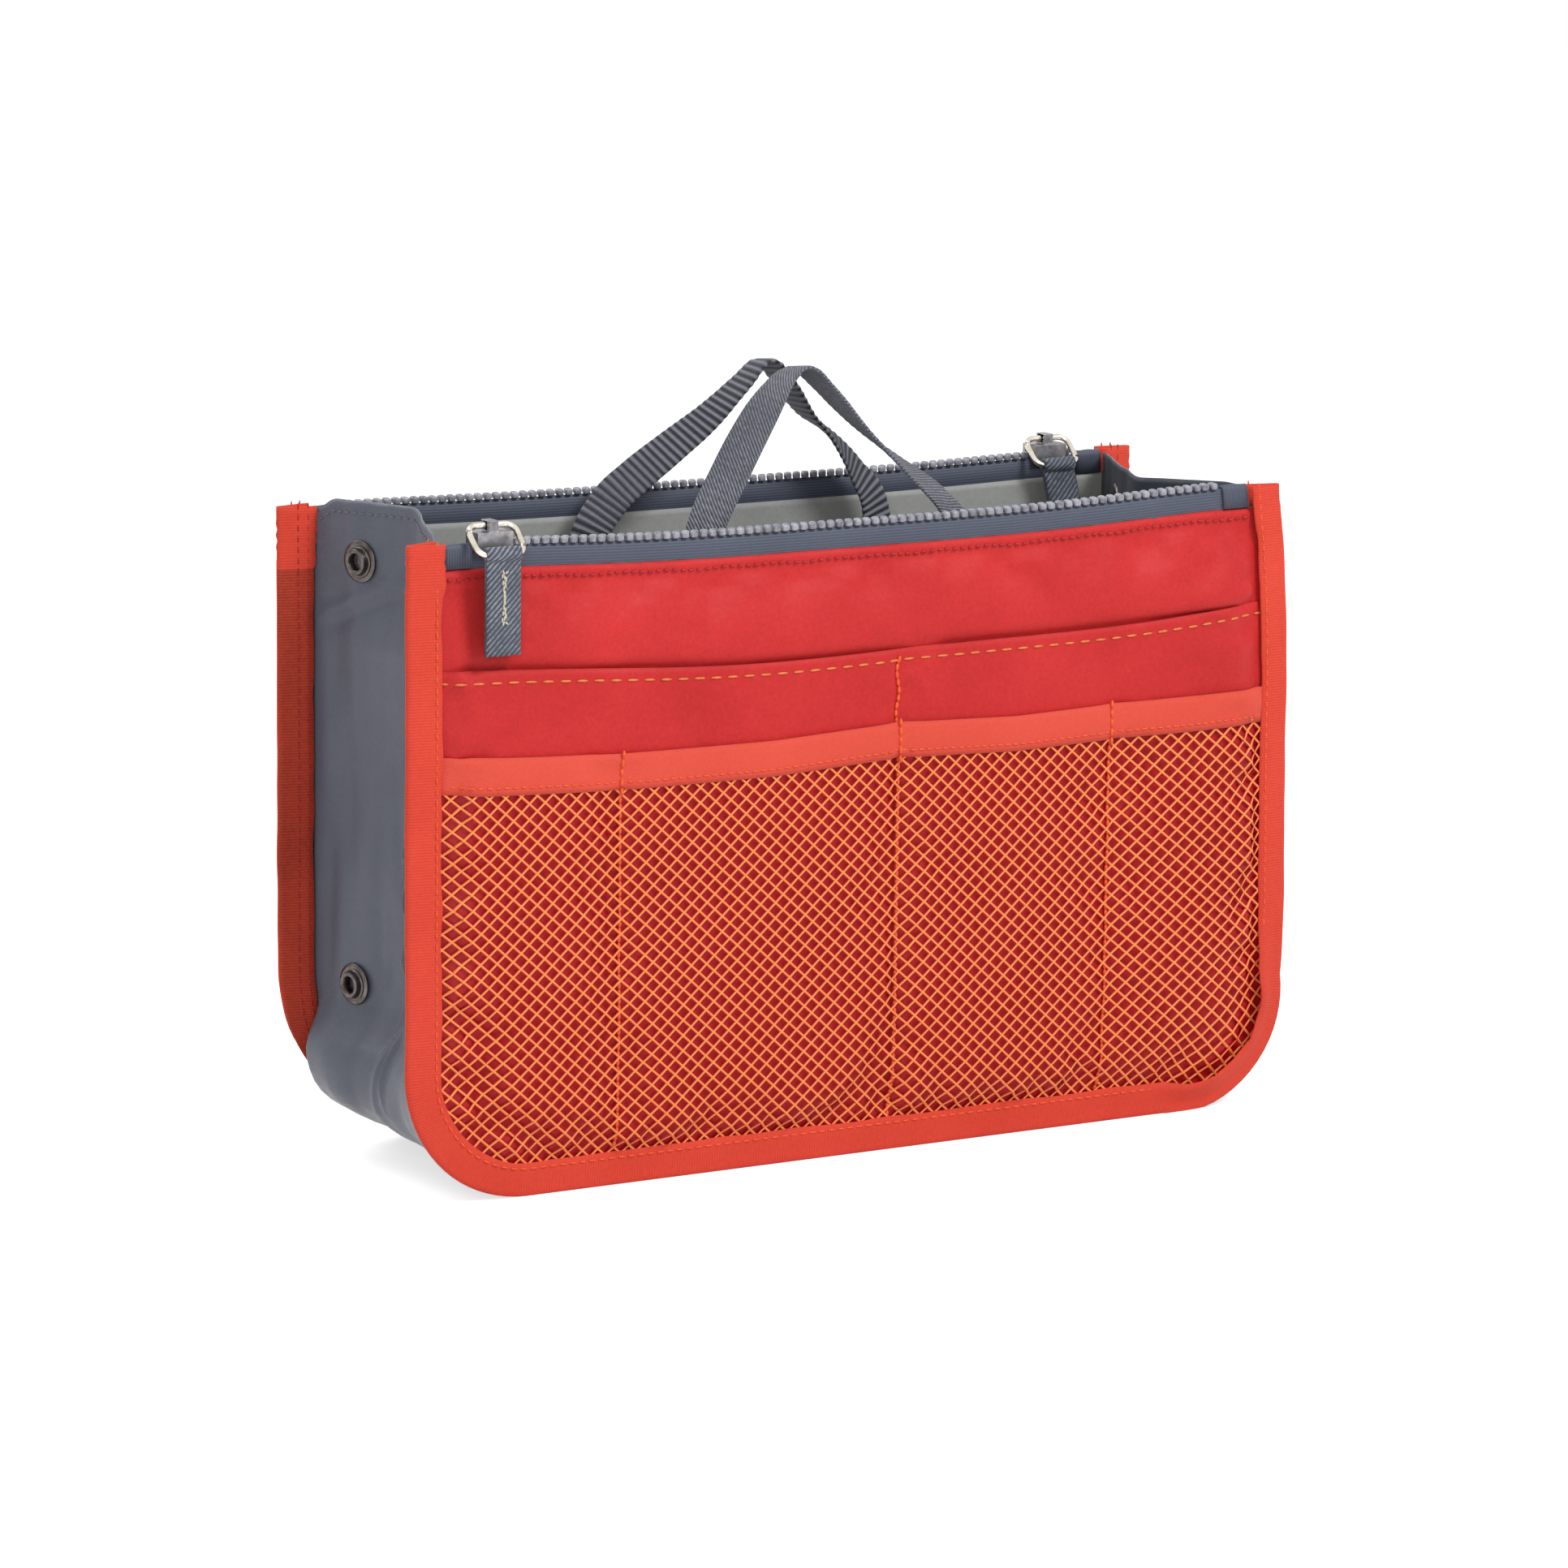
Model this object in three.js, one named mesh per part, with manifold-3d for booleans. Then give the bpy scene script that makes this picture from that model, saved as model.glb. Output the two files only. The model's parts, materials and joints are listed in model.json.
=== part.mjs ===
// Zipped organizer bag: two flat zipped panels, joined by pleated side gussets and a bottom strip.
// Millimetres, +Z up. The front panel faces -Y, +X runs along it, and the bag stands on z = 0.
import * as THREE from 'three';
import { mergeVertices } from 'three/addons/utils/BufferGeometryUtils.js';
import Module from 'manifold-3d';

const wasm = await Module();
wasm.setup();

// Driving dimensions of the bag
const bagLength = 285;
const bagDepth = 85;
const panelHeight = 185;
const cornerRadius = 38;
const cornerSteps = 7;

// Cloth, tape and board thicknesses, and the clearance left between layers
const layerGap = 0.15;
const netThickness = 0.4;
const satinThickness = 0.45;
const foamThickness = 1.0;
const liningThickness = 0.5;
const gussetThickness = 0.5;
const tapeThickness = 0.4;
const bindingThickness = 0.7;
const bindingWidth = 10;
const seatGap = 0.3;

// How far below the panel's top each layer ends
const clothDrop = 6.7;
const foamDrop = 14.5;
const slipPocketDrop = 35;
const innerPocketDrop = 19;
const hemDrop = 59;
const hemHeight = 9.5;
const hemThickness = 0.4;
const netTuck = 0.8;

// Net: a coarse diamond lattice
const netPitch = 14;
const netHole = 5.2;
const netMargin = 4;

// Zip
const tapeHeight = 13.4;
const tapeDrop = 0.6;
const teethWidth = 3.6;
const teethHeight = 2;
const toothPitch = 2.5;
const toothWidth = 1.5;
const toothDepth = 1.1;
const endTabLength = 8.5;
const endTabThickness = 0.8;

// Slider, pull ring and pull tab
const sliderLength = 11;
const sliderWidth = 7.2;
const sliderWall = 1.4;
const sliderClearance = 0.4;
const bridgeLength = 3;
const bridgeWall = 1.1;
const wireRadius = 0.75;
const wireClearance = 0.5;
const ringWidth = 16;
const ringDrop = 10.4;
const ringCorner = 3;
const ringTilt = 42;
const ringSteps = 32;
const wireSides = 6;
const tabWidth = 10.5;
const tabLength = 28;
const tabThickness = 1.8;
const tabLoopWall = 1.1;
const frontSliderFromEnd = 5.8;
const backSliderFromEnd = 10.3;
const backTabSlant = 0.25;

// Handles
const strapWidth = 11;
const strapThickness = 1.2;
const strapSewnBottomDrop = 77;
const strapSewnTopDrop = 53;
const strapFreeDrop = 35;
const strapInset = 14.1;
const handleHingeRise = 3.2;
const gripLean = 3;
const gripSteps = 28;

// Each leg of a grip from its foot: [share of the way across to the apex, share of the rise]
const gripCourse = [[0, 0], [0.03, 0.12], [0.32, 0.44], [0.73, 0.84]];

// Side gussets
const gussetFold = 9.5;
const gussetFoldTop = 13.5;
const creaseLowDrop = 37;
const creaseHighDrop = 24;
const gussetDrop = 0.5;

// Press studs
const studFlange = 6;
const studCollar = 3.2;
const studHole = 2.15;
const studShank = 1.7;
const studFlangeThickness = 0.8;
const studHeight = 2.6;
const studPost = 1.95;
const studChamfer = 0.4;
const studFillet = 0.6;
const studCollarFlare = 0.5;
const capThickness = 1.3;
const capEdge = 0.2;
const capShoulder = 0.5;
const capCrown = 2.5;
const studSides = 12;
const studBoreLength = 8;
const studFromMiddle = 20;
const upperStudDrop = 13;
const lowerStudHeight = 51;

// Layers of a panel, as distances from the bag's middle plane to each layer's outer face
const bindingFace = bagDepth / 2;
const netFace = bindingFace - bindingThickness - layerGap;
const slipFace = netFace - netThickness - layerGap;
const clothFace = slipFace - satinThickness - layerGap;
const foamFace = clothFace - satinThickness - layerGap;
const liningFace = foamFace - foamThickness - layerGap;
const seamFace = liningFace - liningThickness - layerGap;
const bindingInner = seamFace - gussetThickness - layerGap - bindingThickness;
const innerPocketFace = seamFace;
const outerTapeFace = foamFace;
const innerTapeFace = outerTapeFace - tapeThickness - layerGap;
const zipCentre = (outerTapeFace + innerTapeFace - tapeThickness) / 2;
const clothTop = panelHeight - clothDrop;
const foamTop = panelHeight - foamDrop;
const slipPocketTop = panelHeight - slipPocketDrop;
const innerPocketTop = panelHeight - innerPocketDrop;
const hemTop = panelHeight - hemDrop;
const hemBottom = hemTop - hemHeight;
const netTop = hemTop - netTuck;
const tapeTop = panelHeight - tapeDrop;
const tapeBottom = tapeTop - tapeHeight;
const gussetTop = panelHeight - gussetDrop;
const gussetCreaseHigh = panelHeight - creaseHighDrop;
const gussetCreaseLow = panelHeight - creaseLowDrop;
const upperStudZ = panelHeight - upperStudDrop;
const handleHinge = panelHeight + handleHingeRise;
const strapSewnBottom = panelHeight - strapSewnBottomDrop;
const strapSewnTop = panelHeight - strapSewnTopDrop;
const strapFreeBottom = panelHeight - strapFreeDrop;
const teethBottom = tapeTop + layerGap;
const teethTop = teethBottom + teethHeight;
const zipHalf = bagLength / 2 - bindingWidth - gussetThickness - 3 * seatGap;
const teethHalf = zipHalf - endTabLength - seatGap;

// Colours
const satinRed = { color: 0xc8342f, roughness: 0.5, metalness: 0 };
const tapeRed = { color: 0xe2503c, roughness: 0.8, metalness: 0 };
const netOrange = { color: 0xe8643c, roughness: 0.8, metalness: 0 };
const gussetGray = { color: 0x5c606b, roughness: 0.6, metalness: 0 };
const liningGray = { color: 0x8c9088, roughness: 0.7, metalness: 0 };
const foamWhite = { color: 0xe9e6dc, roughness: 0.9, metalness: 0 };
const zipGray = { color: 0x62626f, roughness: 0.8, metalness: 0 };
const toothGray = { color: 0x8e8e9c, roughness: 0.5, metalness: 0 };
const webGray = { color: 0x66666f, roughness: 0.85, metalness: 0 };
const wireSilver = { color: 0xc8c0b0, roughness: 0.3, metalness: 1 };
const gunmetal = { color: 0x4a4442, roughness: 0.4, metalness: 1 };

// Solids

function toSolid(geometry) {
  const bare = geometry.clone();
  bare.deleteAttribute('normal');
  bare.deleteAttribute('uv');
  const merged = mergeVertices(bare, 1e-4);
  const mesh = new wasm.Mesh({
    numProp: 3,
    vertProperties: new Float32Array(merged.attributes.position.array),
    triVerts: new Uint32Array(merged.index.array),
  });
  return new wasm.Manifold(mesh);
}

function toGeometry(solid) {
  const mesh = solid.getMesh();
  const geometry = new THREE.BufferGeometry();
  geometry.setAttribute('position', new THREE.BufferAttribute(mesh.vertProperties, 3));
  geometry.setIndex(new THREE.BufferAttribute(mesh.triVerts, 1));
  geometry.computeVertexNormals();
  return geometry;
}

function cut(geometry, ...tools) {
  let solid = toSolid(geometry);
  for (const tool of tools) solid = solid.subtract(toSolid(tool));
  return toGeometry(solid);
}

function join(geometry, ...others) {
  let solid = toSolid(geometry);
  for (const other of others) solid = solid.add(toSolid(other));
  return toGeometry(solid);
}

function piece(name, geometry, look) {
  const mesh = new THREE.Mesh(geometry, new THREE.MeshStandardMaterial(look));
  mesh.name = name;
  return mesh;
}

// A block between two corners, given as [low, high] along each axis
function block([x0, x1], [y0, y1], [z0, z1]) {
  const geometry = new THREE.BoxGeometry(x1 - x0, y1 - y0, z1 - z0);
  return geometry.translate((x0 + x1) / 2, (y0 + y1) / 2, (z0 + z1) / 2);
}

// Panel outline in the XZ plane: square top corners and round bottom corners, drawn in by inset
function panelOutline(inset, top) {
  const half = bagLength / 2 - inset;
  const radius = Math.max(cornerRadius - inset, 0.5);
  const outline = new THREE.Shape();
  outline.moveTo(half, top);
  outline.lineTo(-half, top);
  for (let step = 0; step <= cornerSteps; step += 1) {
    const angle = Math.PI + (Math.PI / 2) * (step / cornerSteps);
    outline.lineTo(-half + radius + radius * Math.cos(angle), inset + radius + radius * Math.sin(angle));
  }
  for (let step = 0; step <= cornerSteps; step += 1) {
    const angle = 1.5 * Math.PI + (Math.PI / 2) * (step / cornerSteps);
    outline.lineTo(half - radius + radius * Math.cos(angle), inset + radius + radius * Math.sin(angle));
  }
  outline.closePath();
  return outline;
}

// A flat layer of the front panel: its outer face stands at y = -face
function layer(outline, face, thickness) {
  const geometry = new THREE.ExtrudeGeometry(outline, { depth: thickness, bevelEnabled: false });
  return geometry.rotateX(Math.PI / 2).translate(0, thickness - face, 0);
}

// Edge binding: a folded tape round the left, bottom and right edges, open inwards
function bindingGeometry() {
  const over = panelHeight + bindingWidth;
  const depth = bindingFace - bindingInner;
  const plate = layer(panelOutline(0, panelHeight), bindingFace, depth);
  const window = layer(panelOutline(bindingWidth, over), bindingFace + 1, depth + 2);
  const slot = layer(panelOutline(bindingThickness, over), bindingFace - bindingThickness,
    depth - 2 * bindingThickness);
  return cut(plate, window, slot);
}

// Net: the panel outline with staggered diamond openings
function netGeometry() {
  const inset = bindingThickness + layerGap;
  const openings = [];
  const half = bagLength / 2 - bindingWidth - netMargin;
  const low = bindingWidth + netMargin;
  const high = hemBottom - netMargin / 2;
  const inCorner = (x, z) => {
    const dx = Math.abs(x) - (bagLength / 2 - cornerRadius);
    const dz = cornerRadius - z;
    return dx > 0 && dz > 0 && Math.hypot(dx, dz) > cornerRadius - bindingWidth - netMargin;
  };
  const columns = Math.floor((half - netHole) / (netPitch / 2));
  const rows = Math.floor((high - low - 2 * netHole) / (netPitch / 2));
  for (let row = 0; row <= rows; row += 1) {
    for (let column = -columns; column <= columns; column += 1) {
      if ((row + column) % 2 !== 0) continue;
      const x = (column * netPitch) / 2;
      const z = low + netHole + (row * netPitch) / 2;
      if (inCorner(Math.abs(x) + netHole / 2, z - netHole / 2)) continue;
      openings.push(new THREE.Shape([new THREE.Vector2(x, z - netHole), new THREE.Vector2(x + netHole, z),
        new THREE.Vector2(x, z + netHole), new THREE.Vector2(x - netHole, z)]));
    }
  }
  const sheet = layer(panelOutline(inset, netTop), netFace, netThickness);
  return cut(sheet, layer(openings, netFace + 1, netThickness + 2));
}

// Zip teeth: a comb, with the teeth standing up from a shallow spine
function teethGeometry() {
  const count = Math.floor((2 * teethHalf) / toothPitch);
  const start = -(count * toothPitch) / 2;
  const outline = new THREE.Shape();
  outline.moveTo(start, teethBottom);
  for (let tooth = 0; tooth < count; tooth += 1) {
    const x = start + tooth * toothPitch + (toothPitch - toothWidth) / 2;
    outline.lineTo(x, teethTop - toothDepth);
    outline.lineTo(x, teethTop);
    outline.lineTo(x + toothWidth, teethTop);
    outline.lineTo(x + toothWidth, teethTop - toothDepth);
  }
  outline.lineTo(-start, teethTop - toothDepth);
  outline.lineTo(-start, teethBottom);
  outline.closePath();
  const geometry = new THREE.ExtrudeGeometry(outline, { depth: teethWidth, bevelEnabled: false });
  const merged = toGeometry(toSolid(geometry.rotateX(Math.PI / 2)));
  return merged.translate(0, teethWidth / 2 - zipCentre, 0);
}

// Folded cloth over the end of the zip, sitting astride both tapes
function endTabGeometry(side) {
  const near = teethHalf + seatGap;
  const xs = side < 0 ? [-near - endTabLength, -near] : [near, near + endTabLength];
  const outer = outerTapeFace + seatGap;
  const inner = innerTapeFace - tapeThickness - seatGap;
  const low = clothTop + seatGap;
  const hood = block(xs, [-outer - endTabThickness, -inner + endTabThickness],
    [low, tapeTop + seatGap + endTabThickness]);
  const slot = block([xs[0] - 1, xs[1] + 1], [-outer, -inner], [low - 1, tapeTop + seatGap]);
  return cut(hood, slot);
}

// Slider: a channel that wraps the teeth, with a bridge on top for the ring
const sliderTop = teethTop + sliderClearance + sliderWall;
const ringAxisZ = sliderTop + seatGap + wireClearance + wireRadius;

function sliderGeometry() {
  const length = [-sliderLength / 2, sliderLength / 2];
  const half = sliderWidth / 2;
  const grip = teethWidth / 2 + sliderClearance;
  const slit = zipCentre - innerTapeFace + tapeThickness + sliderClearance;
  const low = teethBottom - sliderClearance - sliderWall;
  const bore = wireRadius + wireClearance;
  const body = block(length, [-half, half], [low, sliderTop]);
  const along = [length[0] - 1, length[1] + 1];
  const channel = block(along, [-grip, grip], [teethBottom - sliderClearance, teethTop + sliderClearance]);
  const slot = block(along, [-slit, slit], [low - 1, teethTop]);
  const bridge = block([-bridgeLength / 2, bridgeLength / 2], [-bore - bridgeWall, bore + bridgeWall],
    [sliderTop - bridgeWall, ringAxisZ + bore + bridgeWall]);
  const eye = block([-bridgeLength, bridgeLength], [-bore, bore], [ringAxisZ - bore, ringAxisZ + bore]);
  return cut(join(body, bridge), channel, slot, eye);
}

// Pull ring: a closed wire loop hanging from the axis through the bridge
function ringGeometry() {
  const half = ringWidth / 2 - wireRadius;
  const centres = [[half - ringCorner, -ringCorner, 0], [-half + ringCorner, -ringCorner, 90],
    [-half + ringCorner, -ringDrop + ringCorner, 180], [half - ringCorner, -ringDrop + ringCorner, 270]];
  const points = [];
  for (const [x, z, start] of centres) {
    for (let step = 0; step <= 3; step += 1) {
      const angle = THREE.MathUtils.degToRad(start + 30 * step);
      points.push(new THREE.Vector3(x + ringCorner * Math.cos(angle), 0, z + ringCorner * Math.sin(angle)));
    }
  }
  const path = new THREE.CatmullRomCurve3(points, true, 'centripetal');
  const geometry = new THREE.TubeGeometry(path, ringSteps, wireRadius, wireSides, true);
  return toGeometry(toSolid(geometry));
}

// Pull tab: webbing folded round the ring, its two layers sewn flat; slant leans the tail along X
function tabGeometry(slant) {
  const bore = wireRadius + seatGap;
  const outer = bore + tabLoopWall;
  const half = tabThickness / 2;
  const throat = Math.acos(half / outer);
  const outline = new THREE.Shape();
  outline.moveTo(half, -tabLength);
  outline.lineTo(half, -outer * Math.sin(throat));
  for (let step = 1; step <= 14; step += 1) {
    const angle = -throat + ((Math.PI + 2 * throat) * step) / 14;
    outline.lineTo(outer * Math.cos(angle), outer * Math.sin(angle));
  }
  outline.lineTo(-half, -tabLength);
  outline.closePath();
  const eye = new THREE.Path();
  eye.absarc(0, 0, bore, 0, 2 * Math.PI, true);
  outline.holes.push(eye);
  const geometry = new THREE.ExtrudeGeometry(outline,
    { depth: tabWidth, bevelEnabled: false, curveSegments: 10 });
  geometry.rotateY(Math.PI / 2).rotateX(Math.PI / 2).translate(-tabWidth / 2, 0, 0);
  const places = geometry.attributes.position;
  for (let index = 0; index < places.count; index += 1) {
    const below = Math.max(0, -outer - places.getZ(index));
    places.setX(index, places.getX(index) + slant * below);
  }
  return geometry;
}

// Outline of a bent strap of even thickness, drawn through a list of [y, z] points
function strapOutline(points) {
  const sides = [[], []];
  points.forEach(([y, z], index) => {
    const [py, pz] = points[Math.max(index - 1, 0)];
    const [ny, nz] = points[Math.min(index + 1, points.length - 1)];
    const length = Math.hypot(ny - py, nz - pz);
    const off = [((nz - pz) / length) * (strapThickness / 2), (-(ny - py) / length) * (strapThickness / 2)];
    sides[0].push(new THREE.Vector2(y + off[0], z + off[1]));
    sides[1].push(new THREE.Vector2(y - off[0], z - off[1]));
  });
  return new THREE.Shape([...sides[0], ...sides[1].reverse()]);
}

// Sewn end of a handle: flat on the inner pocket, then free of the lining up to the handle's bend.
// The grip turns about the outer face of the strap, midway in the gap between end and grip.
const strapSewnY = -(innerPocketFace - liningThickness - layerGap - strapThickness / 2);
const strapFreeY = -(bindingFace - strapInset);
const strapTop = handleHinge - seatGap / 2;

function strapEndGeometry(sewnX, topX) {
  const outline = strapOutline([[strapSewnY, strapSewnBottom], [strapSewnY, strapSewnTop],
    [strapFreeY, strapFreeBottom], [strapFreeY, strapTop]]);
  const geometry = new THREE.ExtrudeGeometry(outline, { depth: strapWidth, bevelEnabled: false });
  geometry.rotateY(Math.PI / 2).rotateX(Math.PI / 2).translate(-strapWidth / 2, 0, 0);
  const places = geometry.attributes.position;
  for (let index = 0; index < places.count; index += 1) {
    const rise = Math.max(0, (places.getZ(index) - strapFreeBottom) / (strapTop - strapFreeBottom));
    places.setX(index, places.getX(index) + sewnX + (topX - sewnX) * rise);
  }
  return geometry;
}

// Free arch of a handle: a flat strap that turns on its way over; twist 0 faces out, 90 faces up
function gripGeometry(handle) {
  const foot = handleHinge + seatGap / 2;
  const rise = panelHeight + handle.rise - strapThickness / 2 - foot;
  const at = (x, share) => new THREE.Vector3(x, strapFreeY + gripLean * share, foot + rise * share);
  const leg = (footX) => gripCourse.map(
    ([across, share]) => at(footX + across * (handle.apexX - footX), share));
  const path = new THREE.CatmullRomCurve3(
    [...leg(handle.leftX), at(handle.apexX, 1), ...leg(handle.rightX).reverse()]);
  const twists = new THREE.CatmullRomCurve3(
    handle.twist.map((angle, index) => new THREE.Vector3(index, angle, 0)));
  const places = [];
  for (let step = 0; step <= gripSteps; step += 1) {
    const centre = path.getPointAt(step / gripSteps);
    const along = path.getTangentAt(step / gripSteps);
    if (step === 0) along.set(0, 0, 1);
    if (step === gripSteps) along.set(0, 0, -1);
    const angle = THREE.MathUtils.degToRad(twists.getPoint(step / gripSteps).y);
    const flat = new THREE.Vector3(0, 1, 0).cross(along).normalize();
    const side = new THREE.Vector3().crossVectors(along, flat).normalize();
    const across = flat.clone().multiplyScalar(Math.cos(angle)).addScaledVector(side, Math.sin(angle));
    const up = new THREE.Vector3().crossVectors(across, along).normalize();
    for (const [a, b] of [[-1, -1], [1, -1], [1, 1], [-1, 1]]) {
      const corner = centre.clone().addScaledVector(across, (a * strapWidth) / 2);
      corner.addScaledVector(up, (b * strapThickness) / 2);
      places.push(corner.x, corner.y, corner.z);
    }
  }
  return ringsToGeometry(places, 4);
}

// A closed solid from equal rings of points, with flat ends; turned right way out at the end.
// The second half of each ring, which is the other skin of the sheet, runs back along the first half.
// Its faces are split along the other diagonal, so that both skins bend alike and the sheet keeps its
// thickness where it twists.
function ringsToGeometry(places, size) {
  const rings = places.length / 3 / size;
  const faces = [];
  for (let ring = 0; ring < rings - 1; ring += 1) {
    for (let side = 0; side < size; side += 1) {
      const a = ring * size + side;
      const b = ring * size + ((side + 1) % size);
      if (side < size / 2) faces.push(a, b, b + size, a, b + size, a + size);
      else faces.push(a, b, a + size, b, b + size, a + size);
    }
  }
  const ringPoints = (ring) => Array.from({ length: size }, (unused, side) => {
    const start = 3 * (ring * size + side);
    return new THREE.Vector3(places[start], places[start + 1], places[start + 2]);
  });
  for (const [ring, flip] of [[0, true], [rings - 1, false]]) {
    const points = ringPoints(ring);
    const across = points[1].clone().sub(points[0]).normalize();
    const normal = new THREE.Vector3();
    points.forEach((point, index) => normal.add(point.clone().cross(points[(index + 1) % size])));
    const second = new THREE.Vector3().crossVectors(normal.normalize(), across);
    const flat = points.map((point) => new THREE.Vector2(point.dot(across), point.dot(second)));
    for (const [a, b, c] of THREE.ShapeUtils.triangulateShape(flat, [])) {
      const base = ring * size;
      if (flip) faces.push(base + a, base + c, base + b);
      else faces.push(base + a, base + b, base + c);
    }
  }
  const geometry = new THREE.BufferGeometry();
  geometry.setAttribute('position', new THREE.Float32BufferAttribute(places, 3));
  geometry.setIndex(faces);
  return signedVolume(geometry) < 0 ? turnedOut(geometry) : geometry;
}

function signedVolume(geometry) {
  const places = geometry.attributes.position;
  const index = geometry.index.array;
  const corner = (at) => new THREE.Vector3().fromBufferAttribute(places, index[at]);
  let volume = 0;
  for (let face = 0; face < index.length; face += 3) {
    volume += corner(face).dot(corner(face + 1).cross(corner(face + 2))) / 6;
  }
  return volume;
}

function turnedOut(geometry) {
  const index = geometry.index.array;
  for (let face = 0; face < index.length; face += 3) {
    const kept = index[face];
    index[face] = index[face + 1];
    index[face + 1] = kept;
  }
  return geometry;
}

// How deep the gusset's pleat goes in, at a height on the side wall: deeper above a slanting crease
function pleatDepth(z) {
  const share = THREE.MathUtils.clamp((z - gussetCreaseLow) / (gussetCreaseHigh - gussetCreaseLow), 0, 1);
  return gussetFold + (gussetFoldTop - gussetFold) * share;
}

// One ring of points of the gusset's section, for a place on the panel outline and its inward normal
function gussetRing(edge, inward, fold) {
  const wall = bindingWidth + seatGap;
  const tuck = bindingThickness + 2 * layerGap;
  const flange = seamFace - gussetThickness;
  const half = [[tuck, seamFace], [wall + gussetThickness, seamFace], [wall + gussetThickness + fold, 0],
    [wall + gussetThickness, -seamFace], [tuck, -seamFace], [tuck, -flange], [wall, -flange],
    [wall + fold, 0], [wall, flange], [tuck, flange]];
  return half.flatMap(([inset, y]) => [edge.x + inward.x * inset, y, edge.y + inward.y * inset]);
}

const gussetSides = 10;

// Side gusset on the left: down the side and round the bottom corner
function gussetGeometry() {
  const places = [];
  const side = new THREE.Vector2(1, 0);
  for (const z of [gussetTop, gussetCreaseHigh, gussetCreaseLow, (gussetCreaseLow + cornerRadius) / 2]) {
    places.push(...gussetRing(new THREE.Vector2(-bagLength / 2, z), side, pleatDepth(z)));
  }
  for (let step = 0; step <= cornerSteps; step += 1) {
    const angle = (Math.PI / 2) * (step / cornerSteps);
    const inward = new THREE.Vector2(Math.cos(angle), Math.sin(angle));
    const centre = new THREE.Vector2(-bagLength / 2 + cornerRadius, cornerRadius);
    const edge = centre.clone().addScaledVector(inward, -cornerRadius);
    places.push(...gussetRing(edge, inward, gussetFold * (1 - step / cornerSteps)));
  }
  return ringsToGeometry(places, gussetSides);
}

function bottomGeometry() {
  const half = bagLength / 2 - cornerRadius - seatGap;
  const up = new THREE.Vector2(0, 1);
  const places = [-half, half].flatMap((x) => gussetRing(new THREE.Vector2(x, 0), up, 0));
  return ringsToGeometry(places, gussetSides);
}

// Press studs: the frame of a place on the left gusset's outer face
function studSeat(y, z) {
  const wall = bindingWidth + seatGap;
  const reach = seamFace - gussetThickness;
  const faceX = (atY, atZ) => -bagLength / 2 + wall + pleatDepth(atZ) * (1 - Math.abs(atY) / reach);
  const point = (atY, atZ) => new THREE.Vector3(faceX(atY, atZ), atY, atZ);
  const alongY = point(y + 1, z).sub(point(y - 1, z));
  const alongZ = point(y, z + 1).sub(point(y, z - 1));
  const outward = new THREE.Vector3().crossVectors(alongZ, alongY).normalize();
  if (outward.x > 0) outward.negate();
  const turn = new THREE.Quaternion().setFromUnitVectors(new THREE.Vector3(0, 1, 0), outward);
  return new THREE.Matrix4().compose(point(y, z), turn, new THREE.Vector3(1, 1, 1));
}

function turned(profile) {
  const points = profile.map(([radius, height]) => new THREE.Vector2(radius, height));
  return toGeometry(toSolid(new THREE.LatheGeometry(points, studSides)));
}

// Socket ring: flange, raised collar and a hole right through
function socketGeometry() {
  const low = seatGap;
  const high = low + studHeight;
  const ledge = low + studFlangeThickness;
  return turned([[studHole, low], [studFlange, low], [studFlange - studChamfer, ledge],
    [studCollar + studCollarFlare, ledge], [studCollar, high], [studHole, high], [studHole, low]]);
}

// Post: the same flange with a solid post, hollow below for the shank
function postGeometry() {
  const low = seatGap;
  const ledge = low + studFlangeThickness;
  const high = low + studHeight + seatGap;
  const hollow = shankTop + seatGap;
  return turned([[0, hollow], [studShank + seatGap, hollow], [studShank + seatGap, low], [studFlange, low],
    [studFlange - studChamfer, ledge], [studCollar, ledge], [studPost, ledge + studFillet],
    [studPost, high - studChamfer], [studPost - studChamfer, high], [0, high]]);
}

// Cap on the inner side of the cloth, whose shank goes through it into the socket or post
const shankTop = seatGap + studFlangeThickness / 2;

function capGeometry() {
  const face = -gussetThickness - seatGap;
  return turned([[0, face - capThickness], [studFlange - capCrown, face - capThickness + capEdge / 2],
    [studFlange - capShoulder, face - capThickness / 2], [studFlange, face - capEdge], [studFlange, face],
    [studShank, face], [studShank, shankTop], [0, shankTop]]);
}

// One side of the bag: gusset, its studs and their caps; the back half of the pleat holds the sockets
function gussetGroup(name, frontY) {
  const group = new THREE.Group();
  const boreRadius = studShank + seatGap;
  const bore = new THREE.CylinderGeometry(boreRadius, boreRadius, studBoreLength, studSides);
  const holes = [];
  for (const [level, z] of [['upper', upperStudZ], ['lower', lowerStudHeight]]) {
    const halves = [['socket', -frontY, socketGeometry()], ['post', frontY, postGeometry()]];
    for (const [kind, y, shape] of halves) {
      const seat = studSeat(y, z);
      group.add(piece(`${name}_${level}_${kind}`, shape.applyMatrix4(seat), gunmetal));
      group.add(piece(`${name}_${level}_${kind}_cap`, capGeometry().applyMatrix4(seat), gunmetal));
      holes.push(bore.clone().applyMatrix4(seat));
    }
  }
  group.add(piece(`${name}_gusset`, cut(gussetGeometry(), ...holes), gussetGray));
  return group;
}

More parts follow.
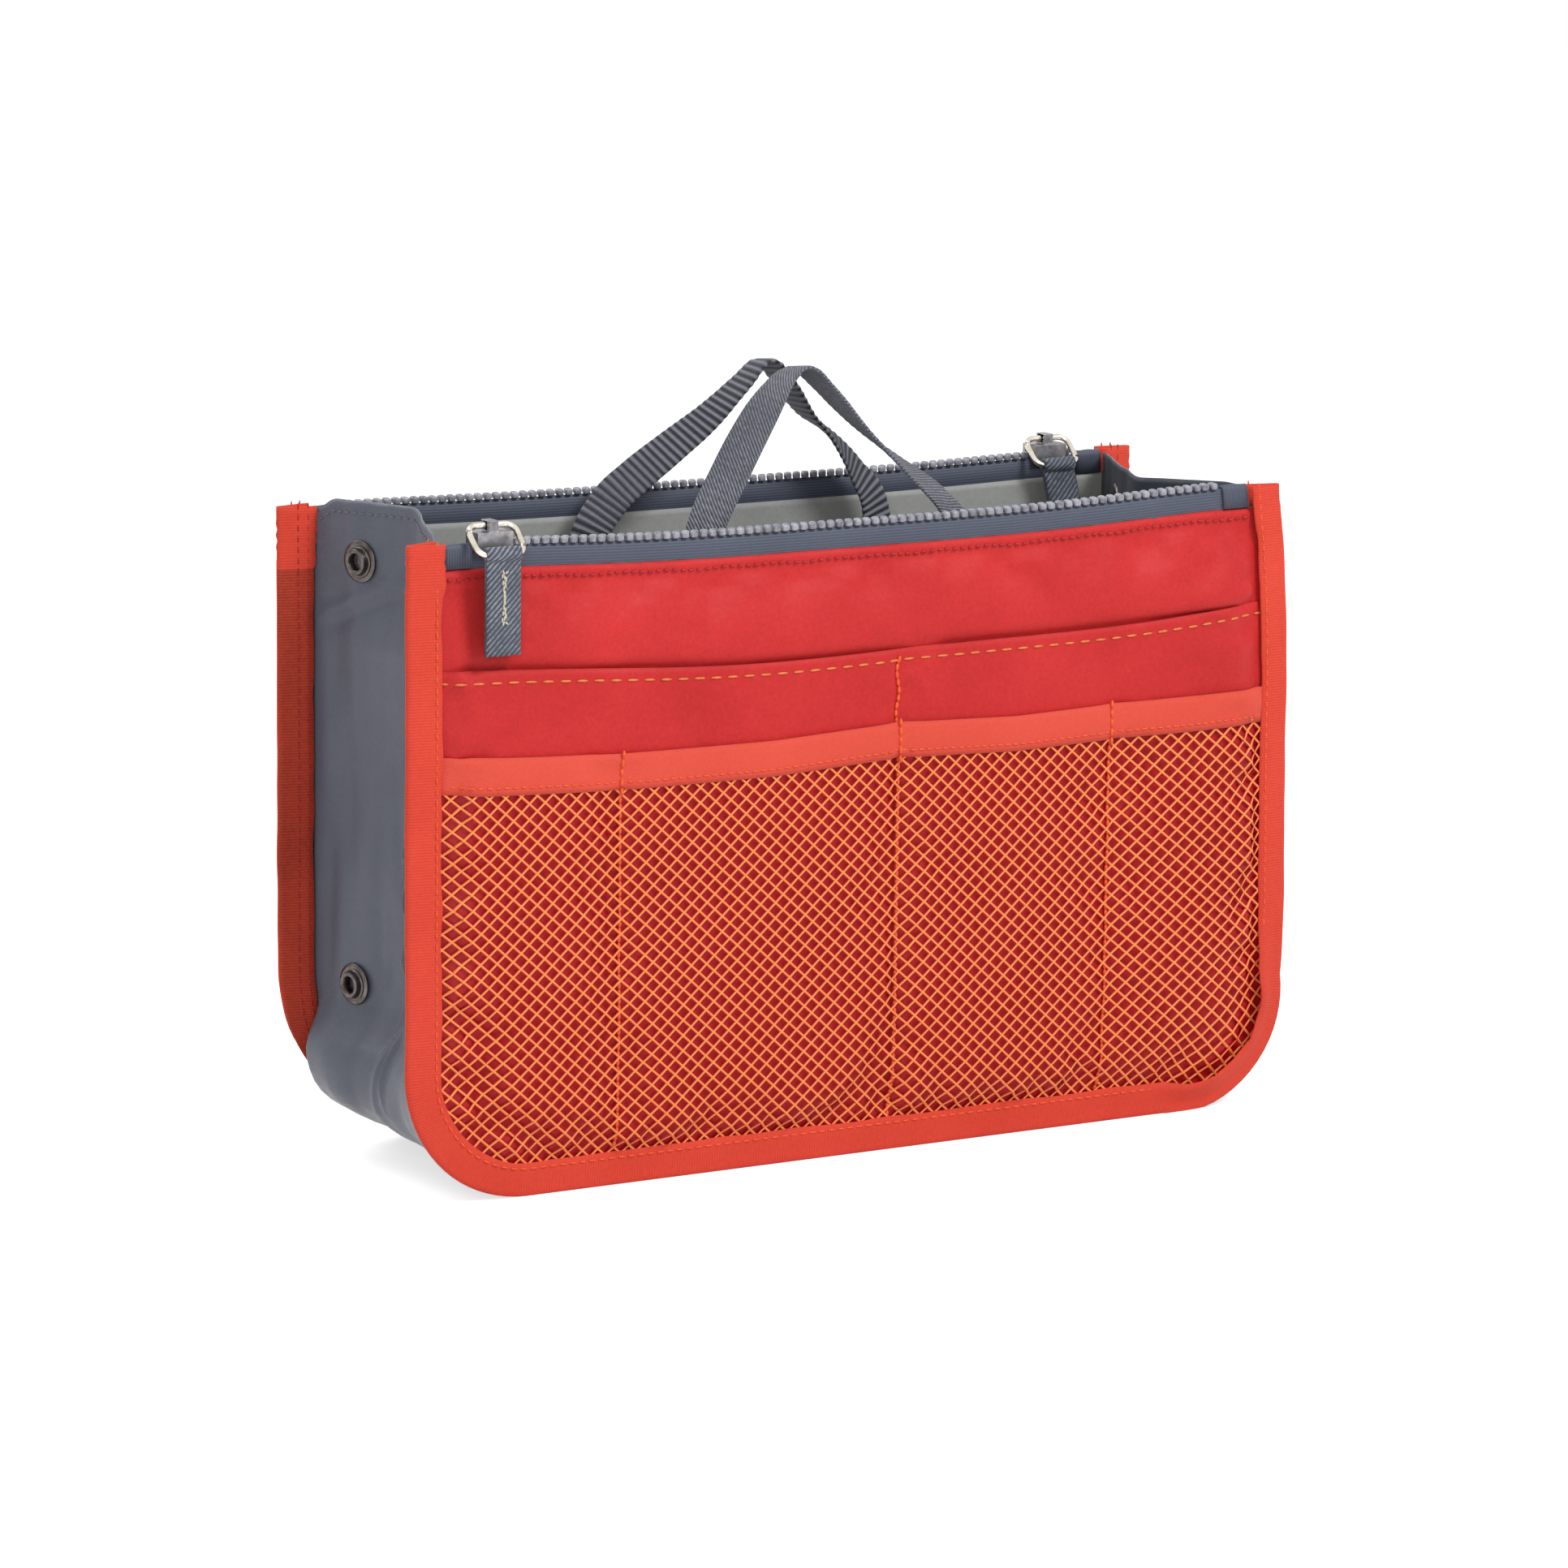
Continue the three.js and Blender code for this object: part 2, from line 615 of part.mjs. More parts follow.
// Zip of a panel: two tapes, teeth, end tabs, slider, ring and tab
function zipGroup(name, sliderX, ringSide, slant) {
  const group = new THREE.Group();
  const tape = (face) => block([-zipHalf, zipHalf], [-face, tapeThickness - face], [tapeBottom, tapeTop]);
  group.add(piece(`${name}_zip_outer_tape`, tape(outerTapeFace), zipGray));
  group.add(piece(`${name}_zip_inner_tape`, tape(innerTapeFace), zipGray));
  group.add(piece(`${name}_zip_teeth`, teethGeometry(), toothGray));
  group.add(piece(`${name}_zip_left_end`, endTabGeometry(-1), gussetGray));
  group.add(piece(`${name}_zip_right_end`, endTabGeometry(1), gussetGray));
  const runner = new THREE.Group();
  runner.position.set(sliderX, -zipCentre, 0);
  runner.add(piece(`${name}_slider`, sliderGeometry(), wireSilver));
  const swing = new THREE.Group();
  swing.position.set(0, 0, ringAxisZ);
  const tilt = THREE.MathUtils.degToRad(90 - ringTilt);
  const ring = piece(`${name}_pull_ring`, ringGeometry(), wireSilver);
  ring.rotation.x = ringSide * tilt;
  swing.add(ring);
  const tab = piece(`${name}_pull_tab`, tabGeometry(slant), webGray);
  tab.position.set(0, ringSide * -ringDrop * -Math.sin(tilt), -ringDrop * Math.cos(tilt));
  swing.add(tab);
  runner.add(swing);
  group.add(runner);
  return group;
}

// Handle of a panel: two sewn ends and the free arch between them
function handleGroup(name, handle) {
  const group = new THREE.Group();
  group.add(piece(`${name}_handle_left_end`, strapEndGeometry(handle.sewnLeftX, handle.leftX), webGray));
  group.add(piece(`${name}_handle_right_end`, strapEndGeometry(handle.sewnRightX, handle.rightX), webGray));
  group.add(piece(`${name}_handle_grip`, gripGeometry(handle), webGray));
  return group;
}

// A whole panel, facing -Y
function panelGroup(name, { sliderX, ringSide, slant, handle, hasNet }) {
  const group = new THREE.Group();
  const sheet = bindingThickness + layerGap;
  const inner = bindingWidth + seatGap + gussetThickness + seatGap;
  group.add(piece(`${name}_binding`, bindingGeometry(), tapeRed));
  group.add(piece(`${name}_outer_cloth`,
    layer(panelOutline(sheet, clothTop), clothFace, satinThickness), satinRed));
  group.add(piece(`${name}_slip_pocket`,
    layer(panelOutline(sheet, slipPocketTop), slipFace, satinThickness), satinRed));
  group.add(piece(`${name}_foam`,
    layer(panelOutline(inner, foamTop), foamFace, foamThickness), foamWhite));
  group.add(piece(`${name}_lining`,
    layer(panelOutline(sheet, clothTop), liningFace, liningThickness), liningGray));
  group.add(piece(`${name}_inner_pocket`,
    layer(panelOutline(inner, innerPocketTop), innerPocketFace, liningThickness), liningGray));
  if (hasNet) {
    const reach = bagLength / 2 - bindingWidth - seatGap;
    group.add(piece(`${name}_net_pocket`, netGeometry(), netOrange));
    group.add(piece(`${name}_net_hem`, block([-reach, reach],
      [-netFace - layerGap - hemThickness, -netFace - layerGap], [hemBottom, hemTop]), tapeRed));
  }
  group.add(zipGroup(name, sliderX, ringSide, slant));
  group.add(handleGroup(name, handle));
  return group;
}

// The handles as they stand: feet, apex, its rise over the panel's top, and the strap's turn at even steps
const frontHandle = { sewnLeftX: -50, leftX: -46, apexX: -9, rise: 41, rightX: 34, sewnRightX: 46,
  twist: [0, -25, -40, -90, -100, -60, 0] };
const backHandle = { sewnLeftX: -52, leftX: -37, apexX: -6, rise: 37, rightX: 37, sewnRightX: 52,
  twist: [0, 60, 100, 90, 40, 25, 0] };

const bag = new THREE.Group();
const frontSliderX = frontSliderFromEnd - teethHalf;
const backSliderX = backSliderFromEnd - teethHalf;
bag.add(panelGroup('front',
  { sliderX: frontSliderX, ringSide: -1, slant: 0, handle: frontHandle, hasNet: true }));
const backPanel = panelGroup('back',
  { sliderX: backSliderX, ringSide: 1, slant: -backTabSlant, handle: backHandle, hasNet: false });
backPanel.rotation.z = Math.PI;
bag.add(backPanel);
bag.add(gussetGroup('left', -studFromMiddle));
const rightSide = gussetGroup('right', studFromMiddle);
rightSide.rotation.z = Math.PI;
bag.add(rightSide);
bag.add(piece('bottom_gusset', bottomGeometry(), gussetGray));

// The origin is midway between the front pull tab's loop and the back slider's outer side
const tabReach = ringDrop * Math.cos(THREE.MathUtils.degToRad(ringTilt)) + wireRadius + seatGap + tabLoopWall;
bag.position.y = (tabReach - sliderWidth / 2) / 2;
bag.updateMatrixWorld(true);

export default bag;
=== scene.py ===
# %% [markdown]
# # Cosmetic organizer bag
# The bag is two flat zipped panels, joined by pleated side gussets and a bottom strip. The packed
# CAD model is the frame: every cloth piece below is built around a CAD solid and stands for it.
# All sizes are worked out in millimetres and turned into Blender's metres when a mesh is made.

# %% Load the frame
import json
import math
import bmesh
import bpy
import numpy as np
from mathutils import Matrix, Vector, noise


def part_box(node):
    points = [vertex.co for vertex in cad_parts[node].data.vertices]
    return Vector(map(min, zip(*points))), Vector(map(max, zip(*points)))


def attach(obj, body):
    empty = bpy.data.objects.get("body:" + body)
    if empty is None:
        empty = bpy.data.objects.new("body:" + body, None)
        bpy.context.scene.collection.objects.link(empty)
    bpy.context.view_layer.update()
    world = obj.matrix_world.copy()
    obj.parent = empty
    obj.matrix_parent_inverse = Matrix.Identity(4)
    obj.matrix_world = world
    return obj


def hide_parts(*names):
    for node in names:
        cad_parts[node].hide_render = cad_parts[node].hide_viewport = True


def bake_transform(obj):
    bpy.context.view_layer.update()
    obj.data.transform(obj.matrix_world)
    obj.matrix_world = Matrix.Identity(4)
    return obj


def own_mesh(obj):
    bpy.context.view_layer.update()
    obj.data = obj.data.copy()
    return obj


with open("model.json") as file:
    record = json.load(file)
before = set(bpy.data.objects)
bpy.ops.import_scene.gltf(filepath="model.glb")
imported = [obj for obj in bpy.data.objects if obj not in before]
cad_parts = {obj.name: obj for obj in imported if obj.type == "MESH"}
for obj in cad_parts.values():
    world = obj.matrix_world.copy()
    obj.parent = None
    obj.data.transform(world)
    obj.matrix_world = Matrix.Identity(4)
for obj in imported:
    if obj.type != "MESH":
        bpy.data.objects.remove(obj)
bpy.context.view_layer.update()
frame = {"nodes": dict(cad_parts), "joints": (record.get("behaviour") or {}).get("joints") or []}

# %% [markdown]
# The panels' measures come from the frame, so that the cloth fits the CAD solids. Both panels share
# one set of local coordinates: x along the panel, d outwards from the bag's middle, z up.

# %% Measures of the bag
MM = 0.001
half_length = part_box("front_binding")[1].x / MM
panel_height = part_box("front_binding")[1].z / MM
middle = (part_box("front_binding")[0].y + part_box("back_binding")[1].y) / 2 / MM


def node_faces(node):
    """Outward distance of a front layer's outer and inner face, in mm."""
    low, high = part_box(node)
    return middle - low.y / MM, middle - high.y / MM


binding_face, binding_inner = node_faces("front_binding")
net_face = node_faces("front_net_pocket")[0]
slip_face = node_faces("front_slip_pocket")[0]
cloth_face, cloth_inner = node_faces("front_outer_cloth")
foam_inner = node_faces("front_foam")[1]
lining_face, lining_inner = node_faces("front_lining")
pocket_face, pocket_inner = node_faces("front_inner_pocket")
outer_tape_face, outer_tape_inner = node_faces("front_zip_outer_tape")
inner_tape_face, inner_tape_inner = node_faces("front_zip_inner_tape")
cloth_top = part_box("front_outer_cloth")[1].z / MM
foam_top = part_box("front_foam")[1].z / MM
slip_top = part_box("front_slip_pocket")[1].z / MM
inner_pocket_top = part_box("front_inner_pocket")[1].z / MM
hem_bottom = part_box("front_net_hem")[0].z / MM
tape_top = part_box("front_zip_outer_tape")[1].z / MM
tape_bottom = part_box("front_zip_outer_tape")[0].z / MM
tape_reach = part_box("front_zip_outer_tape")[1].x / MM
corner_radius = 38
binding_width = 10
cloth_inset = 0.85
stitch_row = cloth_top - 3.8
print("panel", half_length, panel_height, "middle", round(middle, 3), "face", round(binding_face, 3))

# %% [markdown]
# Cloth is never quite straight. Slow warps are shared by all the cloth pieces of a panel, so that
# they stay together: the zip's edge sags in the middle, the front panel's right edge bows out, its
# lower right corner is pushed out, and the back panel's lower corners are tucked in. Everything goes
# through one function that turns panel coordinates into the frame's.

# %% Panel coordinates and the slow warps
front_sag, back_sag = 2.4, 1.2
sag_foot, sag_rise, sag_ends = 105, 70, 20
edge_bow = (5.9, 0.55, 0.9)
bow_start = 70
corner_push = 4.5
push_floor = 0.9
pinch_share = 0.4
pinch_centre = 40.2
pinch_reach, pinch_depth = 11, 34.5
back_tuck = 12.0
tuck_height, tuck_start = 54.0, 62.0
tuck_depth, tuck_lift = 33, 0.4
panel_start, panel_rise = 22, 12


def smooth(share):
    share = np.clip(share, 0, 1)
    return share * share * (3 - 2 * share)


def rim_distance(x, z):
    """How far inside the panel's outer edge a place is, in mm."""
    side = half_length - np.abs(x)
    across = np.abs(x) - (half_length - corner_radius)
    down = corner_radius - z
    corner = corner_radius - np.hypot(np.clip(across, 0, None), np.clip(down, 0, None))
    return np.clip(np.where((across > 0) & (down > 0), corner, np.minimum(side, z)), 0, None)


def settle(points):
    """World points in mm, moved as the bag has settled. The binding pinches the layers that end in
    it. Tuck draws in the back's lower corners, sag lowers the top edges, bow and push move the
    front's right edge and lower right corner."""
    x, y, z = np.moveaxis(np.asarray(points, float), -1, 0)
    out = y - middle
    d = np.abs(out)
    near_rim = 1 - smooth(rim_distance(x, z) / pinch_reach)
    squeeze = (1 - pinch_share) * near_rim * smooth((d - pinch_depth) / 2)
    y = middle + np.sign(out) * (d + (pinch_centre - d) * squeeze)
    corner = (1 - smooth(z / tuck_height)) * smooth((np.abs(x) - tuck_start) / (half_length - tuck_start))
    tuck = back_tuck * corner * smooth((out - tuck_depth) / 6)
    x = x - np.sign(x) * tuck
    z = z + tuck_lift * tuck * corner
    front = smooth((middle - y - panel_start) / panel_rise)
    back = smooth((y - middle - panel_start) / panel_rise)
    lift = smooth((z - sag_foot) / sag_rise)
    dip = np.clip(1 - (x / (half_length - sag_ends)) ** 2, 0, 1)
    sag = (front * front_sag * smooth(dip) + back * back_sag * smooth(dip)) * lift
    up = np.pi * np.clip(z / panel_height, 0, 1)
    wave = sum(size * np.sin(turn * up) for turn, size in enumerate(edge_bow, 1))
    bow = front * smooth((x - bow_start) / 70) * wave
    across = np.clip(x - half_length + corner_radius, 0, None)
    down = np.clip(corner_radius - z, 0, None)
    reach = np.hypot(across, down) + 1e-6
    push = front * corner_push * 2 * across * down / reach**2 * smooth(reach / corner_radius)
    bow = bow + push * across / reach
    sag = sag + np.minimum(push * down / reach, push_floor * np.clip(z, 0, None))
    return np.stack([x + bow, y + 0 * x, z - sag], -1)


def place(panel, points):
    """Panel coordinates (x, d, z) in mm to the frame's metres."""
    x, d, z = np.moveaxis(np.asarray(points, float), -1, 0)
    turn = 1 if panel == "front" else -1
    return settle(np.stack([turn * x, middle - turn * d, z], -1)) * MM


def stacked(x, d, z):
    """Three coordinates, single numbers or arrays, as one array of points."""
    return np.stack(np.broadcast_arrays(x, d, z), -1).astype(float)


def ripple(points, scale, seed=0.0):
    """Smooth noise between -1 and 1 at each point, with hills about scale mm across."""
    flat = np.asarray(points, float).reshape(-1, np.shape(points)[-1])
    values = [noise.noise(Vector((p[0] / scale, p[-1] / scale, seed))) for p in flat]
    return np.array(values).reshape(np.shape(points)[:-1])


print("top edge sags", front_sag, "mm in front and", back_sag, "mm behind")

# %% [markdown]
# Every piece is a closed skin of quads, even the thinnest cloth, because real cloth has two sides and
# an edge. Two builders make them: a slab between two grids of points, and a loft through closed rings.
# Both keep a UV map in metres of cloth, which the weaves are drawn on.

# %% Mesh builders


def make_piece(name, points, faces, corner_uvs, finish, flat_faces=False):
    """An object from points in metres, with its UV map, outward normals and finish."""
    mesh = bpy.data.meshes.new(name)
    mesh.from_pydata([tuple(p) for p in points], [], faces)
    layer = mesh.uv_layers.new(name="cloth")
    layer.data.foreach_set("uv", np.asarray(corner_uvs, np.float32).ravel())
    shape = bmesh.new()
    shape.from_mesh(mesh)
    bmesh.ops.recalc_face_normals(shape, faces=shape.faces)
    if shape.calc_volume(signed=True) < 0:
        bmesh.ops.reverse_faces(shape, faces=shape.faces)
    shape.to_mesh(mesh)
    shape.free()
    mesh.materials.append(finish)
    mesh.polygons.foreach_set("use_smooth", [not flat_faces] * len(mesh.polygons))
    piece = bpy.data.objects.new(name, mesh)
    bpy.context.scene.collection.objects.link(piece)
    return piece


def slab(name, outer, inner, finish, uv=None):
    """A closed sheet between two grids of points (rows, columns, 3) in metres."""
    rows, columns = outer.shape[:2]
    count = rows * columns
    points = np.concatenate([outer.reshape(-1, 3), inner.reshape(-1, 3)])
    if uv is None:
        uv = outer[..., [0, 2]]
    uv = np.concatenate([uv.reshape(-1, 2)] * 2)
    faces = []
    for row in range(rows - 1):
        for column in range(columns - 1):
            a = row * columns + column
            quad = (a, a + 1, a + columns + 1, a + columns)
            faces.append(quad)
            faces.append(tuple(count + corner for corner in reversed(quad)))
    border = [(0, c) for c in range(columns)]
    border += [(r, columns - 1) for r in range(1, rows)]
    border += [(rows - 1, c) for c in range(columns - 2, -1, -1)]
    border += [(r, 0) for r in range(rows - 2, 0, -1)]
    for (r0, c0), (r1, c1) in zip(border, border[1:] + border[:1]):
        a, b = r0 * columns + c0, r1 * columns + c1
        faces.append((b, a, count + a, count + b))
    return make_piece(name, points, faces, [uv[i] for face in faces for i in face], finish)


def loft(name, rings, finish, round_way=False):
    """A closed skin through rings (rings, points, 3) in metres; round_way joins the last to the first."""
    total, size = rings.shape[:2]
    around = np.linalg.norm(np.roll(rings, -1, 1) - rings, axis=-1).mean(0)
    u = np.concatenate([[0], np.cumsum(around)])
    steps = np.linalg.norm(rings[1:] - rings[:-1], axis=-1).mean(1)
    v = np.concatenate([[0], np.cumsum(steps)])
    v = np.append(v, v[-1] + steps.mean())
    faces, uvs = [], []
    for ring in range(total if round_way else total - 1):
        for k in range(size):
            after, across = (ring + 1) % total, (k + 1) % size
            faces.append((ring * size + k, ring * size + across, after * size + across, after * size + k))
            uvs += [(u[k], v[ring]), (u[k + 1], v[ring]), (u[k + 1], v[ring + 1]), (u[k], v[ring + 1])]
    if not round_way:
        for ring in (0, total - 1):
            faces.append(tuple(ring * size + k for k in range(size)))
            uvs += [(u[k], v[ring]) for k in range(size)]
    return make_piece(name, rings.reshape(-1, 3), faces, uvs, finish)


print("builders ready")

# %% [markdown]
# Colours are written as the sRGB hex values that a screen shows. Blender's shaders work in linear
# light, so one function turns them over. A second small function adds a node with its settings.

# %% Colour and node helpers


def shade(hex_code):
    """A screen's hex colour in linear light."""
    channels = [int(hex_code[i:i + 2], 16) / 255 for i in (1, 3, 5)]
    linear = [c / 12.92 if c <= 0.04045 else ((c + 0.055) / 1.055) ** 2.4 for c in channels]
    return (*linear, 1)


def add(tree, kind, links=None, values=None, **settings):
    """A node of a kind: settings are its attributes, values its sockets, links what feeds them."""
    node = tree.nodes.new(kind)
    for key, value in settings.items():
        setattr(node, key, value)
    for key, value in (values or {}).items():
        node.inputs[key].default_value = value
    for key, source in (links or {}).items():
        tree.links.new(source, node.inputs[key])
    return node


def new_material(name):
    """A material with one shader; returns it with its tree and the shader."""
    material = bpy.data.materials.new(name)
    material.use_nodes = True
    tree = material.node_tree
    tree.nodes.clear()
    shader = add(tree, "ShaderNodeBsdfPrincipled")
    add(tree, "ShaderNodeOutputMaterial", {"Surface": shader.outputs["BSDF"]})
    return material, tree, shader


print("red satin in linear light", [round(c, 3) for c in shade("#C8342F")])

# %% [markdown]
# A woven cloth shows its threads as small hills. Sines across the UV map, at the real thread pitch,
# draw them: the product of both for a plain weave, a slanting one for a twill, and cross ribs for a
# tape. The same height feeds the bump and a painted shade in the hollows between the threads; slow
# noise adds uneven dye and soft creases.

# %% Woven finishes


def hills(size):
    """Noise scale for hills about size mm across."""
    return 1 / (size * MM)


def woven(name, colour, dark, pattern, pitch, depth, roughness, sheen, mottle, crumple=0.0,
          contrast=0.55, crest=None):
    """A woven cloth. Pitch, depth and crumple are in mm; dark is the colour of the uneven dye and of the
    painted shade between the threads, and contrast that painted shade's share there; mottle is the
    share of uneven dye; crest is the colour of a painted highlight, shown where the piece's own
    attribute outward nears 1."""
    material, tree, shader = new_material(name)
    uv = add(tree, "ShaderNodeUVMap", uv_map="cloth")
    place_uv = add(tree, "ShaderNodeSeparateXYZ", {"Vector": uv.outputs["UV"]})
    turns = 2 * math.pi / (pitch * MM)
    across, along = place_uv.outputs["X"], place_uv.outputs["Y"]
    if pattern == "twill":
        across = add(tree, "ShaderNodeMath", {0: along, 1: across}, operation="ADD").outputs[0]
    waves = []
    for source in {"rib": (along,), "twill": (across,), "plain": (across, along)}[pattern]:
        phase = add(tree, "ShaderNodeMath", {0: source}, {1: turns}, operation="MULTIPLY")
        waves.append(add(tree, "ShaderNodeMath", {0: phase.outputs[0]}, operation="SINE").outputs[0])
    if len(waves) == 2:
        product = add(tree, "ShaderNodeMath", {0: waves[0], 1: waves[1]}, operation="MULTIPLY")
        waves = [product.outputs[0]]
    height = add(tree, "ShaderNodeMapRange", {"Value": waves[0]}, {"From Min": -1, "From Max": 1})
    spot = add(tree, "ShaderNodeTexCoord")
    cloud = add(tree, "ShaderNodeTexNoise", {"Vector": spot.outputs["Object"]},
                {"Scale": hills(35.7), "Detail": 4, "Roughness": 0.55})
    fuzz = add(tree, "ShaderNodeTexNoise", {"Vector": spot.outputs["Object"]},
               {"Scale": hills(1.11), "Detail": 3, "Roughness": 0.7})
    mixed = add(tree, "ShaderNodeMath", {0: cloud.outputs["Fac"], 1: fuzz.outputs["Fac"]}, operation="ADD")
    spread = add(tree, "ShaderNodeMapRange", {"Value": mixed.outputs[0]},
                 {"From Min": 0.6, "From Max": 1.4, "To Min": 0, "To Max": mottle})
    # Painted shade: the hollows between the threads take the dark colour, by contrast
    thread = add(tree, "ShaderNodeMapRange", {"Value": height.outputs[0]},
                 {"From Min": 0, "From Max": 1, "To Min": contrast, "To Max": 0})
    both = add(tree, "ShaderNodeMath", {0: spread.outputs[0], 1: thread.outputs[0]}, operation="ADD")
    both.use_clamp = True
    tone = add(tree, "ShaderNodeMix", {"Factor": both.outputs[0]}, data_type="RGBA")
    tone.inputs["A"].default_value = shade(colour)
    tone.inputs["B"].default_value = shade(dark)
    # Painted highlight: the crest colour on the side of a thread that faces out
    if crest:
        outward = add(tree, "ShaderNodeAttribute", attribute_name="outward")
        highlight_share = add(tree, "ShaderNodeMapRange", {"Value": outward.outputs["Fac"]},
                       {"From Min": 0.45, "From Max": 0.85, "To Min": 0, "To Max": 1.0})
        base_tone = tone
        tone = add(tree, "ShaderNodeMix", {"Factor": highlight_share.outputs[0]}, data_type="RGBA")
        tree.links.new(base_tone.outputs["Result"], tone.inputs["A"])
        tone.inputs["B"].default_value = shade(crest)
    tree.links.new(tone.outputs["Result"], shader.inputs["Base Color"])
    weave = add(tree, "ShaderNodeBump", {"Height": height.outputs[0]},
                {"Strength": 0.6, "Distance": depth * MM})
    hairs = add(tree, "ShaderNodeBump", {"Height": fuzz.outputs["Fac"], "Normal": weave.outputs["Normal"]},
                {"Strength": 0.35, "Distance": depth * MM * 1.2})
    normal = hairs.outputs["Normal"]
    if crumple:
        creases = add(tree, "ShaderNodeTexNoise", {"Vector": spot.outputs["Object"]},
                      {"Scale": hills(22.2), "Detail": 5, "Roughness": 0.5, "Distortion": 0.6})
        folds = add(tree, "ShaderNodeBump", {"Height": creases.outputs["Fac"], "Normal": normal},
                    {"Strength": 0.6, "Distance": crumple * MM})
        normal = folds.outputs["Normal"]
    tree.links.new(normal, shader.inputs["Normal"])
    rough = add(tree, "ShaderNodeMapRange", {"Value": cloud.outputs["Fac"]},
                {"From Min": 0.3, "From Max": 0.7, "To Min": roughness - 0.06, "To Max": roughness + 0.06})
    tree.links.new(rough.outputs[0], shader.inputs["Roughness"])
    shader.inputs["Sheen Weight"].default_value = sheen
    shader.inputs["Sheen Roughness"].default_value = 0.4
    shader.inputs["IOR"].default_value = 1.5
    shader.inputs["Specular IOR Level"].default_value = 0.3
    return material


print("hills 10 mm across have a noise scale of", round(hills(10)))

# %% [markdown]
# Each cloth and tape of the bag gets its own weave, at a thread pitch that suits the material, and its
# own uneven dye. Where a cloth lies in shade, on the back binding's inner half, the gussets' inner
# face and under the net, a second finish paints that shade.

# %% Cloths and tapes
# Polyester satin: smooth, with soft broad highlights; its fine threads are drawn at 0.5 mm to show
red_satin = woven("red_polyester_satin", "#DA302F", "#A8171A", "plain", pitch=0.5, depth=0.03,
                  roughness=0.62, sheen=0.04, mottle=0.6, crumple=1.5, contrast=0.35)
# The pocket's satin under the net: the same cloth, deeper red where the net keeps the light off
shaded_satin = woven("red_satin_under_net", "#C01822", "#980F18", "plain", pitch=0.5, depth=0.03,
                     roughness=0.5, sheen=0.0, mottle=0.35, crumple=0.5, contrast=0.35)
# Polyester grosgrain: dull, cross-ribbed, brighter orange-red than the cloth
red_tape = woven("red_grosgrain_tape", "#E94C38", "#B5301F", "rib", pitch=0.8, depth=0.05,
                 roughness=0.8, sheen=0.08, mottle=0.4, crumple=0.4, contrast=0.3)
# The back binding's inner half gets painted shade: the same tape drawn darker; only its folded ends keep the
# bright one
shaded_tape = woven("red_grosgrain_tape_painted_shade", "#D2472F", "#92301E", "rib", pitch=0.8, depth=0.1,
                  roughness=0.8, sheen=0.05, mottle=0.7, crumple=0.6, contrast=0.5)
# Knitted polyester tape of the net's hem: soft and matt, more coral than the binding
hem_tape = woven("coral_knitted_tape", "#EE5A48", "#C8402F", "plain", pitch=0.9, depth=0.1,
                 roughness=0.8, sheen=0.1, mottle=0.35, crumple=0.3)
# Knitted polyester net: round dull threads, with a painted highlight, lighter and more orange, on their
# outer side
net_thread = woven("orange_polyester_net", "#DE4420", "#BE3018", "twill", pitch=0.6, depth=0.06,
                   roughness=0.42, sheen=0.0, mottle=0.4, crest="#FF9A58")
# Nylon taffeta of the gussets: bluish gray, slightly shiny, with visible slanting threads
gray_nylon = woven("gray_nylon_taffeta", "#666B78", "#434752", "twill", pitch=0.7, depth=0.05,
                   roughness=0.36, sheen=0.08, mottle=0.3, crumple=1.0, contrast=0.4)
# The gussets' inner face gets painted shade: the same nylon drawn darker
shaded_nylon = woven("gray_nylon_painted_shade", "#3C404A", "#2A2D36", "twill", pitch=0.7, depth=0.04,
                     roughness=0.5, sheen=0.05, mottle=0.3, crumple=0.6, contrast=0.3)
# Polyester lining: pale greenish gray, matt
gray_lining = woven("gray_polyester_lining", "#B0B1AE", "#7C7E7A", "plain", pitch=0.6, depth=0.04,
                    roughness=0.6, sheen=0.08, mottle=0.35, crumple=0.9)
# Woven polyester tape of the zip: dark bluish gray, close ribs, half dull
zip_tape = woven("gray_zip_tape", "#5A6070", "#3A3D4A", "rib", pitch=0.8, depth=0.05,
                 roughness=0.55, sheen=0.1, mottle=0.25)
# Polypropylene webbing: coarse slanting threads, dull, with painted shade in the gaps
webbing = woven("gray_webbing", "#ABACB6", "#50525B", "twill", pitch=1.25, depth=0.4,
                roughness=0.7, sheen=0.1, mottle=0.9, contrast=0.8)
# The back handle shows its cross ribs: one broad rib every 2.3 mm, with painted shade in the gap between
# ribs
rib_pitch = 2.3
ribbed_webbing = woven("gray_ribbed_webbing", "#82838E", "#26272E", "rib", pitch=rib_pitch, depth=0.5,
                       roughness=0.7, sheen=0.1, mottle=0.3, contrast=0.95)
# Polyester twill tape of the pull tabs: slanting ridges with painted shade in the gaps between them
pull_twill = woven("gray_twill_tape", "#B4B9C4", "#4A505C", "twill", pitch=1.7, depth=0.5,
                   roughness=0.7, sheen=0.1, mottle=1.0, contrast=0.8)
print("woven finishes:", len(bpy.data.materials))

# %% [markdown]
# Threads, moulded teeth and metal need no weave. Threads get a fine twist, teeth a worn nylon look,
# and the metals fine scratches that change their roughness from place to place.

# %% Thread, nylon and metal finishes


